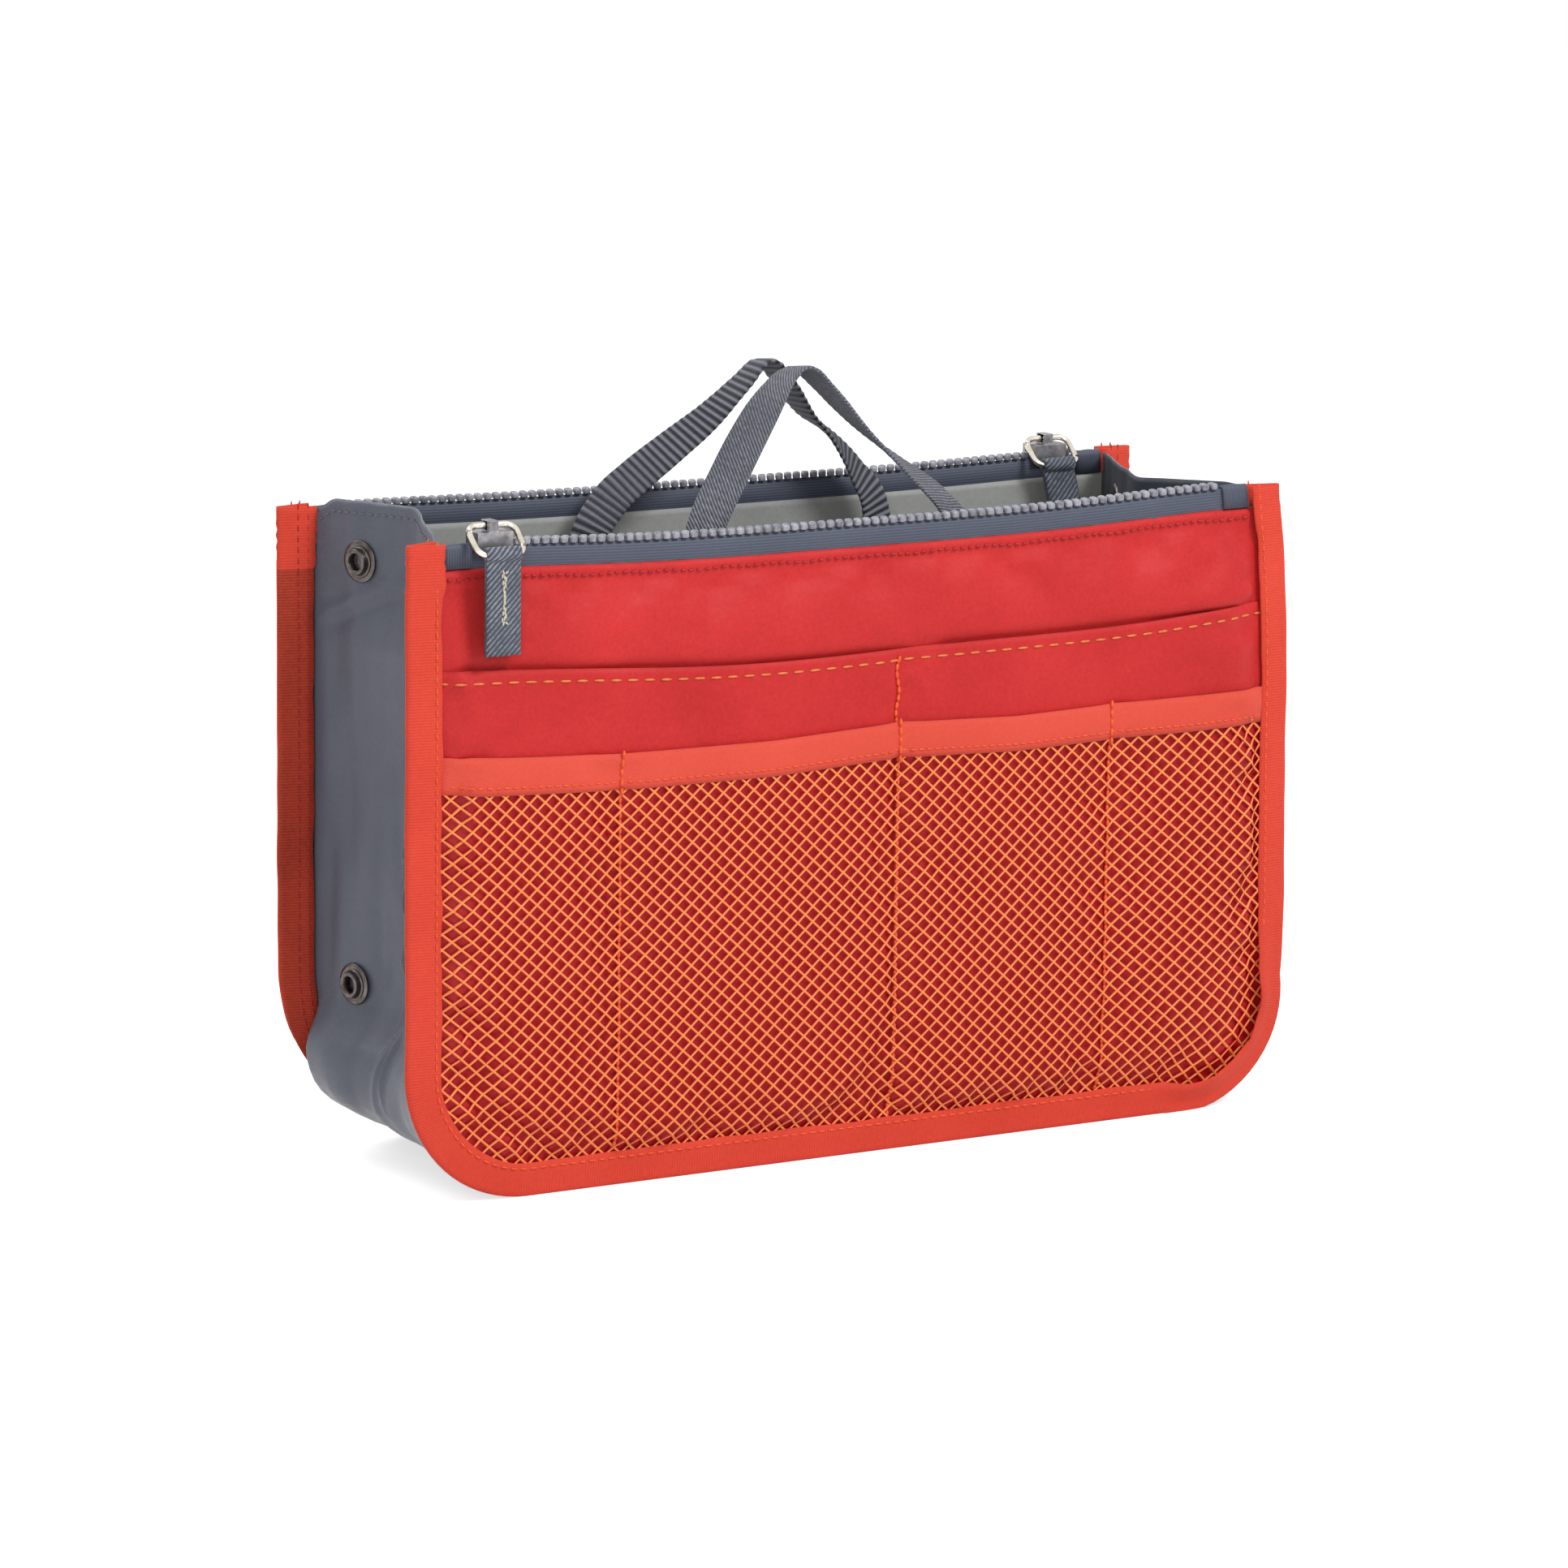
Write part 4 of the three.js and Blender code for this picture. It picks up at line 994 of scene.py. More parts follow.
# The attribute outward marks the side of each thread that faces out, where the net's finish paints a
# highlight
outward = net.data.attributes.new(name="outward", type="FLOAT", domain="POINT")
outward.data.foreach_set("value", (offset / (net_thread_width / 2)).astype(np.float32))
finish_piece("front", "net", net, ("front_net_pocket",))

hem_height = 10.4
hem_reach = half_length - 9
hem_x, share = np.meshgrid(np.linspace(-hem_reach, hem_reach, 90), np.linspace(0, 1, 7))
hem_z = hem_upper(hem_x) - (1 - share) * hem_height
rest = net_at(hem_x, hem_z) - 0.15
free = smooth((half_length - binding_width + 1.5 - np.abs(hem_x)) / 4)
thick = 0.5 + (0.4 + 0.35 * np.sin(np.pi * share)) * free
outer = place("front", stacked(hem_x, rest + thick, hem_z))
inner = place("front", stacked(hem_x, rest, hem_z))
hem = slab("hem", outer, inner, hem_tape, np.stack([hem_z, hem_x], -1) * MM)
finish_piece("front", "net_hem_tape", hem, ("front_net_hem",))
print("net has", len(net.data.polygons), "faces")

# %% [markdown]
# The binding is a grosgrain tape folded over the panel's edge. Its cross-section, a flat U with
# rounded edges, is swept down one side, round the bottom and up the other, with the small waves that
# a hand-guided tape has. Its upper ends are folded and stand a little above the panel.

# %% Bindings
end_rise = {"front": (0.9, -0.2), "back": (0.8, 0.8)}
end_fold = {"front": (14.0, 14.0), "back": (14.0, 17.0)}
path_step = 2.0
tape_thickness = 0.7
curl_height, curl_noise = 3.2, 1.2
curl_start, curl_top = 95, 60


def outline_path(panel, step=path_step):
    """Points (x, z) round the panel's edge from upper left to upper right, and their normals."""
    tops = [panel_height + rise for rise in end_rise[panel]]
    count = int(panel_height / step)
    left, right = [[(-half_length, z, 1, 0) for z in np.linspace(top, corner_radius, count)]
                   for top in tops]
    turns = np.linspace(0, np.pi / 2, 20)[1:-1]
    low_left = [(-half_length + corner_radius * (1 - np.cos(t)), corner_radius * (1 - np.sin(t)),
                 np.cos(t), np.sin(t)) for t in turns]
    reach = half_length - corner_radius
    bottom = [(x, 0, 0, 1) for x in np.linspace(-reach, reach, int(2 * reach / step))]
    low_right = [(-x, z, -nx, nz) for x, z, nx, nz in reversed(low_left)]
    right = [(-x, z, -nx, nz) for x, z, nx, nz in reversed(right)]
    return np.array(left + low_left + bottom + low_right + right)


def binding_section(face, inner, thickness, width):
    """Closed section of the folded tape as (inset, d)."""
    bend = (face - inner) / 2
    centre = (face + inner) / 2
    turns = np.linspace(np.pi / 2, 3 * np.pi / 2, 11)
    outside = [(bend * 0.55 * (1 + np.cos(t)), centre + bend * np.sin(t)) for t in turns]
    inside = [(i + thickness if i < bend else i, centre + (d - centre) * (1 - thickness / bend))
              for i, d in reversed(outside)]
    flats = np.linspace(width, bend * 0.55 + 1.2, 4)
    section = [(i, face) for i in flats] + outside + [(i, inner) for i in flats[::-1]]
    section += [(width + 0.15, inner + thickness / 2)]
    section += [(i, inner + thickness) for i in flats] + inside
    section += [(i, face - thickness) for i in flats[::-1]]
    section += [(width + 0.15, face - thickness / 2)]
    return np.array(section)


def binding_rings(panel, seed):
    """The tape's section along the panel's edge. The front's lower right corner curls away, and the
    upper ends, where the tape is folded back, are thicker and uneven."""
    path = outline_path(panel)
    section = binding_section(binding_face, binding_inner, tape_thickness, binding_width)
    centre = (binding_face + binding_inner) / 2
    rings = []
    for index, (px, pz, nx, nz) in enumerate(path):
        run = index * path_step
        wave = noise.noise(Vector((run / 19, seed, 0)))
        pucker = 0.16 * noise.noise(Vector((run / 3.2, seed, 4)))
        width = 1 + 0.045 * noise.noise(Vector((run / 13, seed, 7)))
        in_end = smooth((pz - panel_height + end_fold[panel][int(px > 0)]) / 1.5)
        inset, d = section[:, 0] * width * (1 + 0.07 * in_end), section[:, 1]
        share = np.clip(inset / binding_width, 0, 1)
        side = np.sign(d - centre)
        curl = curl_height + curl_noise * noise.noise(Vector((run / 4, seed, 2)))
        curl = curl * smooth((px - curl_start) / 25) * smooth((curl_top - pz) / 30) * (panel == "front")
        d = d + side * (0.2 * wave * share + pucker * smooth((share - 0.6) / 0.3) + 0.35 * in_end * share)
        d = d + curl * smooth((share - 0.35) / 0.6) * (side > 0)
        lean = 0.35 * wave + 0.5 * in_end * noise.noise(Vector((run / 2.3, seed, 9)))
        rings.append(stacked(px + nx * (inset + lean), d, pz + nz * inset))
    return place(panel, np.array(rings))


for panel, seed in (("front", 1.3), ("back", 5.9)):
    binding = loft("binding", binding_rings(panel, seed), red_tape)
    # On the back panel, the binding's inner half below its folded ends gets painted shade
    if panel == "back":
        binding.data.materials.append(shaded_tape)
        halfway = middle + (binding_face + binding_inner) / 2
        fold_foot = panel_height - max(end_fold["back"])
        for face in binding.data.polygons:
            in_painted_shade = face.center.y < halfway * MM and face.center.z < fold_foot * MM
            face.material_index = int(in_painted_shade)
    finish_piece(panel, "binding_tape", binding, (f"{panel}_binding",))

# %% [markdown]
# The zip is closed along its whole length: two woven tapes, with moulded teeth that mesh on top. The
# teeth are sown by a tree like the stitches', and each is a rounded block. A subdivided cube with
# creased edges gives that shape with few faces.

# %% The tooth tree
tooth_pitch = 2.9
tooth_length, tooth_width, tooth_height = 2.25, 1.75, 2.0
tooth_row_offset, tooth_middle = 0.85, 0.8


def unit_block(tree):
    """A rounded block about one metre across, to be stretched to a tooth."""
    cube = add(tree, "GeometryNodeMeshCube", values={"Size": (1, 1, 1)})
    return add(tree, "GeometryNodeSubdivisionSurface", {"Mesh": cube.outputs[0]},
               {"Level": 2, "Edge Crease": 0.3})


tooth_tree = sowing_tree(
    "teeth", {"Pitch": tooth_pitch * MM, "Length": tooth_length * MM, "Width": tooth_width * MM,
              "Height": tooth_height * MM}, unit_block)
print("tooth tree has", len(tooth_tree.nodes), "nodes")

# %% [markdown]
# Each tape is a thin sheet whose visible band swells a little away from the teeth. The two rows of
# teeth start half a pitch apart, so that they mesh. A hood of folded cloth covers each end of the
# chain, lofted from sections along the zip.

# %% Zip tapes, teeth and end tabs
zip_centre = (outer_tape_face + inner_tape_inner) / 2
teeth_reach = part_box("front_zip_teeth")[1].x / MM
teeth_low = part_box("front_zip_teeth")[0].z / MM
end_outer, end_inner = node_faces("front_zip_right_end")
end_near, _, end_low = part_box("front_zip_right_end")[0] / MM
end_far, _, end_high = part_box("front_zip_right_end")[1] / MM
band_swell = 0.9
hood_thickness, hood_radius = 0.8, 1.7


def tape_bulge(z):
    """How far the visible band of the zip tape swells outwards."""
    share = np.clip((z - cloth_top + 1) / (tape_top - cloth_top + 1), 0, 1)
    return band_swell * np.sin(np.pi * share) ** 0.8


def end_tab_rings(side):
    """Rings of a hood folded over the zip's end, from its inner to its outer end."""
    mid, half = (end_outer + end_inner) / 2, (end_outer - end_inner) / 2
    turns = np.linspace(0, np.pi, 9)
    crown = end_high - hood_radius
    rings = []
    for x in np.linspace(end_near, end_far, 9):
        lean = 0.2 * np.sin(x * 1.1)
        over = [(mid + (half + lean * 0.3) * np.cos(t), crown + hood_radius * np.sin(t) + lean * 0.4)
                for t in turns]
        under = [(mid + (half - hood_thickness) * np.cos(t),
                  crown + (hood_radius - hood_thickness) * np.sin(t)) for t in turns[::-1]]
        ring = [(end_outer, end_low)] + over
        ring += [(end_inner, end_low), (end_inner + hood_thickness, end_low)] + under
        ring += [(end_outer - hood_thickness, end_low)]
        rings.append([(side * x, d, z) for d, z in ring])
    return np.array(rings, float)


for panel in ("front", "back"):
    for kind, face, inner_face, sign in (("outer", outer_tape_face, outer_tape_inner, 1),
                                         ("inner", inner_tape_face, inner_tape_inner, -1)):
        x, z = np.meshgrid(np.linspace(-tape_reach, tape_reach, 75), np.linspace(tape_bottom, tape_top, 12))
        bulge = sign * tape_bulge(z) * smooth((teeth_reach - np.abs(x)) / 6 + 0.5)
        tape = layer_sheet("tape", panel, x, z, face + bulge, inner_face + bulge, zip_tape)
        finish_piece(panel, f"zip_band_{kind}", tape, (f"{panel}_zip_{kind}_tape",))
    rows = []
    for offset, shift in ((tooth_row_offset, 0.0), (-tooth_row_offset, tooth_pitch / 2)):
        x = np.arange(-teeth_reach + 1 + shift, teeth_reach - 0.5, 1.25)
        rows.append(place(panel, stacked(x, zip_centre + offset, teeth_low + tooth_middle)))
    teeth = grow("teeth", line_object(rows), tooth_tree, tooth_nylon, Pitch=tooth_pitch * MM,
                 Length=tooth_length * MM, Width=tooth_width * MM, Height=tooth_height * MM)
    finish_piece(panel, "zip_chain", teeth, (f"{panel}_zip_teeth",))
    for side, word in ((-1, "left"), (1, "right")):
        tab = loft("end", place(panel, end_tab_rings(side)), zip_tape)
        finish_piece(panel, f"zip_{word}_tab", tab, (f"{panel}_zip_{word}_end",))
print("zip chain", round(2 * teeth_reach), "mm long")

# %% [markdown]
# The slider is cast metal and mostly hidden under its ring. So it keeps its CAD shape, with edges
# rounded by a bevel, and its bridge is pressed flatter, so that it sits under the ring.

# %% Shape of the slider
joint_at = {joint["name"]: Vector(joint["pos_m"]) / MM for joint in frame["joints"] if "pos_m" in joint}
bridge_share = 0.3


def copy_of(node, name, finish, bevel):
    """A merged copy of a CAD node with rounded edges."""
    mesh = frame["nodes"][node].data.copy()
    shape = bmesh.new()
    shape.from_mesh(mesh)
    bmesh.ops.remove_doubles(shape, verts=shape.verts, dist=1e-6)
    bmesh.ops.dissolve_limit(shape, angle_limit=0.02, verts=shape.verts, edges=shape.edges)
    shape.to_mesh(mesh)
    shape.free()
    mesh.materials.clear()
    mesh.materials.append(finish)
    piece = bpy.data.objects.new(name, mesh)
    bpy.context.scene.collection.objects.link(piece)
    edge = piece.modifiers.new("edges", "BEVEL")
    edge.width = bevel * MM
    edge.segments = 3
    edge.limit_method = "ANGLE"
    return piece


print("joints with a place:", len(joint_at))

# %% [markdown]
# The pull ring is bent wire: a round tube swept along a rounded rectangle. The rectangle hangs on the
# line between the two joints of the frame, so that the ring turns about its own upper side.

# %% Shape of the pull ring
ring_half = 7.25
ring_corner = 3.0
wire_radius = 0.9


def tube(name, line, radius, finish, sides=12, closed=True):
    """A round wire along points in mm."""
    line = np.asarray(line, float)
    rings = []
    up = Vector((1, 0, 0))
    total = len(line)
    for index in range(total):
        after = line[(index + 1) % total] if closed else line[min(index + 1, total - 1)]
        before = line[index - 1] if closed or index else line[index]
        along = Vector(after - before).normalized()
        first = Vector((0, 0.7, 0.7)).cross(along)
        if first.length < 0.2:
            first = up.cross(along)
        first.normalize()
        second = along.cross(first).normalized()
        turns = np.linspace(0, 2 * np.pi, sides, endpoint=False)
        first, second = np.array(first), np.array(second)
        rings.append([line[index] + radius * (math.cos(t) * first + math.sin(t) * second) for t in turns])
    return loft(name, np.array(rings) * MM, finish, round_way=closed)


def ring_line(top, low):
    """Rounded rectangle of wire hung on the line from the slider's eye to the tab's fold."""
    down = (low - top).normalized()
    drop = (low - top).length
    points = []
    side, floor = ring_half - ring_corner, ring_corner - drop
    corners = ((side, -ring_corner, 0), (-side, -ring_corner, 90), (-side, floor, 180), (side, floor, 270))
    for cx, cz, start in corners:
        for step in range(9):
            angle = math.radians(start + 90 * step / 8)
            points.append((cx + ring_corner * math.cos(angle), cz + ring_corner * math.sin(angle)))
    return [np.array(top) + np.array((x, 0, 0)) - np.array(down) * z for x, z in points]


print("pull ring", 2 * (ring_half + wire_radius), "mm wide")

# %% [markdown]
# The pull tab is twill tape folded round the wire. Its section, an eye above two layers, is lofted
# across the tape's width. Each pull is then put together from slider, ring and tab.

# %% Pull tabs and whole pulls
tab_width = 10.5
tab_length = 28.0
tab_bore, tab_wall, tab_half = 1.05, 1.1, 0.9
tab_slant = {"front": 0.0, "back": 0.25}


def tab_rings(centre, slant):
    """Rings across X of the webbing folded round the wire: an eye above a tail of two layers."""
    outer = tab_bore + tab_wall
    throat = math.acos(tab_half / outer)
    tail = np.linspace(tab_length, outer * math.sin(throat) + 0.6, 26)
    right = [(tab_half + 0.06 * math.sin(s * 2.1), -s) for s in tail]
    turns = np.linspace(-throat, math.pi + throat, 19)
    loop = [(outer * math.cos(t), outer * math.sin(t)) for t in turns]
    left = [(-tab_half - 0.06 * math.sin(s * 2.3), -s) for s in tail[::-1]]
    bends = np.linspace(1.4 * math.pi, -0.4 * math.pi, 17)
    eye = [(tab_bore * math.cos(t), tab_bore * math.sin(t)) for t in bends]
    section = right + loop + left
    section += [(-0.05, -s) for s in tail[:-1]] + eye + [(0.05, -s) for s in tail[-2::-1]]
    rings = []
    for across in np.linspace(-tab_width / 2, tab_width / 2, 9):
        edge = 1 - 0.25 * (abs(across) / (tab_width / 2)) ** 6
        ring = []
        for y, z in section:
            below = max(0.0, -outer - z)
            fray = 0.5 * noise.noise(Vector((across * 0.9, y, 3))) * (z < -tab_length + 0.1)
            ring.append((centre.x + across + slant * below, centre.y + y * edge, centre.z + z + fray))
        rings.append(ring)
    return np.array(rings, float) * MM


for panel, slant in tab_slant.items():
    slider = copy_of(f"{panel}_slider", f"{panel}_slider_body", slider_zinc, 0.35)
    top, low = joint_at[f"{panel}_ring_swing"], joint_at[f"{panel}_tab_swing"]
    bridge = (top.z + wire_radius + 0.15) * MM
    for point in slider.data.vertices:
        if point.co.z > bridge:
            point.co.z = bridge + bridge_share * (point.co.z - bridge)
    finish_piece(panel, "slider_body", slider, (f"{panel}_slider",), f"{panel}_slider")
    ring = tube("ring", ring_line(top, low), wire_radius, nickel_wire)
    finish_piece(panel, "pull_wire", ring, (f"{panel}_pull_ring",), f"{panel}_ring")
    tab = loft("tab", tab_rings(low, slant), pull_twill)
    finish_piece(panel, "pull_webbing", tab, (f"{panel}_pull_tab",), f"{panel}_tab")
print("pulls made")

# %% [markdown]
# A strap bends smoothly through a few places that can be read off the photograph. A spline through
# these marks gives points at even steps, which the ribs need.

# %% A smooth curve through marks


def curve_through(marks, count):
    """Even points on a smooth curve through marks, and the share of the marks passed at each."""
    marks = np.asarray(marks, float)
    ends = np.vstack([2 * marks[0] - marks[1], marks, 2 * marks[-1] - marks[-2]])
    fine, where = [], []
    for i in range(1, len(ends) - 2):
        for t in np.linspace(0, 1, 40, endpoint=False):
            a, b, c, d = ends[i - 1:i + 3]
            fine.append(0.5 * (2 * b + (c - a) * t + (2 * a - 5 * b + 4 * c - d) * t**2
                               + (3 * b - a - 3 * c + d) * t**3))
            where.append(i - 1 + t)
    fine = np.array(fine + [marks[-1]])
    where = np.array(where + [len(marks) - 1])
    run = np.concatenate([[0], np.cumsum(np.linalg.norm(np.diff(fine, axis=0), axis=1))])
    even = np.linspace(0, run[-1], count)
    points = np.stack([np.interp(even, run, fine[:, k]) for k in range(fine.shape[1])], -1)
    return points, np.interp(even, run, where), run[-1]


print("an arch 30 mm wide and 20 mm high is", round(curve_through([(-15, 0), (0, 20), (15, 0)], 50)[2]),
      "mm long")

# %% [markdown]
# A handle is one length of webbing, sewn to the inner pocket at both ends. It is a ribbon swept along
# a smooth curve, and it turns over on the way, as the photograph shows. Its ribs are real bumps: the
# ribbon's thickness follows a wave at the webbing's rib pitch. The angles are those of the turning.

# %% Handles
strap_width = 11.0
strap_thickness = 1.2
rib_height = {"front": 0.16, "back": 0.34}
sewn_low, sewn_high = 108.0, 132.0
strap_sewn_d = pocket_inner - 0.15 - strap_thickness / 2
strap_free_d = binding_face - 14.1
strap_lean = 3
handle_shapes = {
    "front": {"left": [(-50, sewn_low), (-50, sewn_high), (-46, 168), (-42, 184)],
              "right": [(46, sewn_low), (46, sewn_high), (44, 170), (35.5, 184.5)],
              "arch": [(-35, 197), (-28.5, 207), (-21.5, 216.5), (-15.5, 223.3), (-10, 225.4),
                       (-3, 219.5), (9, 207), (22, 196)],
              "turns": [0, 0, -8, -18, -30, -40, -55, -80, -95, -100, -95, -80, -60, -40, -15, 0, 0]},
    "back": {"left": [(-52, sewn_low), (-52, sewn_high), (-47, 172), (-40, 186)],
             "right": [(52, sewn_low), (52, sewn_high), (50.5, 168), (43, 181.5)],
             "arch": [(-31, 197), (-22, 204), (-13, 215), (-6.5, 220.6), (0.5, 214.5), (11, 205),
                      (23, 196.5), (34, 189)],
             "turns": [0, 0, 10, 35, 60, 85, 100, 100, 92, 80, 60, 45, 35, 25, 10, 0, 0]},
}


def handle_rings(panel):
    """Rings of the strap in panel coordinates, and its length, in mm."""
    shape = handle_shapes[panel]
    track = shape["left"] + shape["arch"] + shape["right"][::-1]
    marks = []
    for x, z in track:
        if z <= sewn_high:
            d = strap_sewn_d
        else:
            share = smooth((z - sewn_high) / 20)
            d = strap_sewn_d + (strap_free_d - strap_sewn_d) * share - strap_lean * smooth((z - 190) / 36)
        marks.append((x, d, z))
    points, where, length = curve_through(marks, 620)
    along = np.gradient(points, axis=0)
    along /= np.linalg.norm(along, axis=1)[:, None]
    turn_marks = np.linspace(0, len(marks) - 1, len(shape["turns"]))
    angles = np.interp(where, turn_marks, np.radians(shape["turns"]))
    rings = []
    step = length / (len(points) - 1)
    turns = np.linspace(0, 2 * np.pi, 14, endpoint=False)
    for index, (point, t, angle) in enumerate(zip(points, along, angles)):
        flat = np.cross((0, 1, 0), t)
        flat /= np.linalg.norm(flat)
        side = np.cross(t, flat)
        across = flat * math.cos(angle) - side * math.sin(angle)
        up = np.cross(across, t)
        rib = 0.5 + 0.5 * math.sin(2 * math.pi * index * step / rib_pitch)
        ring = []
        for turn in turns:
            w = np.sign(math.cos(turn)) * abs(math.cos(turn)) ** 0.35 * strap_width / 2
            lift = strap_thickness / 2 + rib_height[panel] * (rib - 0.5)
            h = np.sign(math.sin(turn)) * abs(math.sin(turn)) ** 0.5 * lift
            ring.append(point + across * w + up * h)
        rings.append(ring)
    return np.array(rings), length


for panel in ("front", "back"):
    rings, length = handle_rings(panel)
    sign = 1 if panel == "front" else -1
    world = np.stack([sign * rings[..., 0], middle - sign * rings[..., 1], rings[..., 2]], -1) * MM
    handle = loft(f"{panel}_handle_strap", world, webbing if panel == "front" else ribbed_webbing)
    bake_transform(handle)
    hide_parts(f"{panel}_handle_left_end", f"{panel}_handle_right_end", f"{panel}_handle_grip")
    pieces[handle.name] = handle
    print(panel, "handle strap", round(length), "mm long")

# %% [markdown]
# Each side gusset is one sheet of nylon, pleated inwards down its middle so that the bag can flatten.
# It is a sheet through sections that run from the back seam to the front seam: two soft faces, a
# rounded crease between them, and long lazy wrinkles. It follows the panel's side and rounds the
# lower corner, where the cloth swells outwards.

# %% Pleat and creases of a gusset
gusset_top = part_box("left_gusset")[1].z / MM
gusset_flange = lining_inner - 0.15
gusset_wall = binding_width + 0.3
gusset_thickness = 0.5
fold_low, fold_high = 9.5, 13.5
crease_low, crease_high = panel_height - 37, panel_height - 24
crease_softness = 1.5
seam_margin = 9
corner_swell, swell_slope = 5.4, 0.05
rear_bulge, rear_y, rear_reach = 3.6, 26.0, 34
wrinkle_size, fine_size = 1.5, 0.7
ridge_low_y, ridge_high_y = -8.0, -20.0
ridge_height, ridge_width = 3.0, 1.4
second_ridge_gap, second_ridge_share = 5.5, 0.6
ridge_foot, ridge_head = 14, 158
stud_clearance = 12
lower_stud = (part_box("left_lower_post")[0].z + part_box("left_lower_post")[1].z) / 2 / MM
slant_foot, slant_head = (38.0, 154.0), (2.0, 168.0)
hem_rise = {-1: (2.0, 5.0, 4.0), 1: (1.0, -1.5, 1.0)}


def pleat_depth(z):
    """How far the crease is folded inwards at height z: deeper at the top."""
    share = np.clip((z - crease_low) / (crease_high - crease_low), 0, 1)
    return fold_low + (fold_high - fold_low) * share


def gusset_swell(ys, z, share, side):
    """The cloth's swell at the lower corner, most towards the back. Share is 1 up the side."""
    rear = -side * ys
    near_rear = smooth(1 - np.abs(rear - rear_y) / rear_reach)
    bulge = rear_bulge * near_rear * (1 - smooth((0.7 - share) / 0.45))
    swell = corner_swell - swell_slope * rear + bulge
    swell = swell * smooth((corner_radius + 11 - z) / 22) * (1 - smooth((0.35 - share) / 0.35))
    return swell * smooth((gusset_flange - np.abs(ys)) / 5)


def gusset_ridges(ys, z):
    """Two upright creases side by side that wander with the height and stay off the lower stud."""
    ridge_y = ridge_low_y + (ridge_high_y - ridge_low_y) * smooth((z - 80) / 60)
    off = ys - ridge_y - 1.5 * math.sin(z / 17)
    second = second_ridge_share * np.exp(-((off - second_ridge_gap) / ridge_width) ** 2)
    ridge = ridge_height * (np.exp(-(off / ridge_width) ** 2) + second)
    ridge = ridge * smooth((z - ridge_foot) / 20) * smooth((ridge_head - z) / 20)
    ridge = ridge * (1 + noise.noise(Vector((z / 11, 8, 1))))
    return ridge * (1 - np.exp(-((z - lower_stud) / stud_clearance) ** 2))


def slant_fold(ys, z):
    """One slanting crease near the top, raised with a hollow under it."""
    run, rise = slant_foot[0] - slant_head[0], slant_head[1] - slant_foot[1]
    slant = slant_foot[1] + rise * (slant_foot[0] - ys) / run
    fold = 1.3 * np.exp(-((z - slant) / 1.6) ** 2) - 0.9 * np.exp(-((z - slant + 3.5) / 2.2) ** 2)
    return fold * smooth((ys - slant_head[0]) / 6)


print("pleat", float(pleat_depth(0)), "mm deep below and", float(pleat_depth(panel_height)), "mm above")

# %% [markdown]
# The sheet goes through stations down the side and round the lower corner, each with the pleat, the
# swell and the creases of its height. The inner skin is the same one thickness further in.

# %% Gussets


def gusset_grids(side):
    """Outer and inner grids of a gusset, from its hem down the side and round the corner, with
    their UV map and the length of its middle."""
    stations = [(-half_length, z, 1.0, 0.0, 1.0) for z in np.linspace(gusset_top, corner_radius, 90)]
    for t in np.linspace(0, np.pi / 2, 16)[1:]:
        stations.append((-half_length + corner_radius - corner_radius * np.cos(t),
                         corner_radius - corner_radius * np.sin(t), np.cos(t), np.sin(t), 1 - 2 * t / np.pi))
    ys = np.linspace(-gusset_flange, gusset_flange, 91)
    soft = np.sqrt(ys**2 + crease_softness) / math.sqrt(gusset_flange**2 + crease_softness)
    away = smooth((gusset_flange - np.abs(ys)) / seam_margin)
    grids = []
    for skin in (0, 1):
        grid = []
        for px, pz, nx, nz, share in stations:
            fold = pleat_depth(pz) * smooth((share - 0.55) / 0.45)
            inset = gusset_wall + fold * (1 - soft) - gusset_swell(ys, pz, share, side)
            wrinkle = np.array([noise.noise(Vector((y / 16, pz / 34, side * 3.1))) for y in ys])
            fine = np.array([noise.noise(Vector((y / 7, pz / 60, side * 5.7))) for y in ys])
            creases = gusset_ridges(ys, pz) + slant_fold(ys, pz) * away
            inset = inset + (wrinkle_size * wrinkle + fine_size * fine) * away - creases
            inset = inset + skin * gusset_thickness
            rise = np.interp(ys, (-gusset_flange, 2, gusset_flange), hem_rise[side])
            rise = rise * smooth((pz - gusset_top + 30) / 30) * away
            grid.append([(px + nx * i, y, pz + nz * i + r) for i, y, r in zip(inset, ys, rise)])
        grids.append(np.array(grid, float))
    turn = 1 if side < 0 else -1
    placed = [settle(grid * (turn, turn, 1) + (0, middle, 0)) * MM for grid in grids]
    course = np.linalg.norm(np.diff(grids[0][:, len(ys) // 2], axis=0), axis=1)
    lengths = np.concatenate([[0], np.cumsum(course)])
    uv = np.stack(np.broadcast_arrays(ys[None, :], lengths[:, None]), -1) * MM
    return placed, uv, lengths[-1]


for side, word in ((-1, "left"), (1, "right")):
    (outer, inner), uv, length = gusset_grids(side)
    gusset = slab(f"{word}_gusset_cloth", outer, inner, gray_nylon, uv)
    # Faces turned into the bag get the nylon with painted shade
    gusset.data.materials.append(shaded_nylon)
    for face in gusset.data.polygons:
        face.material_index = int(face.normal.x * side < -0.2)
    finish_piece("", f"{word}_gusset_cloth", gusset, (f"{word}_gusset",), "back_half")
    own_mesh(gusset)
    seam = stitches([outer[2, 4:-4] + (side * 0.2 * MM, 0, 0)], gray_thread, 2.8, 2.1, 0.5)
    finish_piece("", f"{word}_gusset_stitches", seam, body="back_half")
    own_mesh(seam)

print("gussets", round(length), "mm long")

# %% [markdown]
# The bottom strip joins the lower edges of both panels. It is plain cloth without a board, so a slow
# dip is all that it needs.

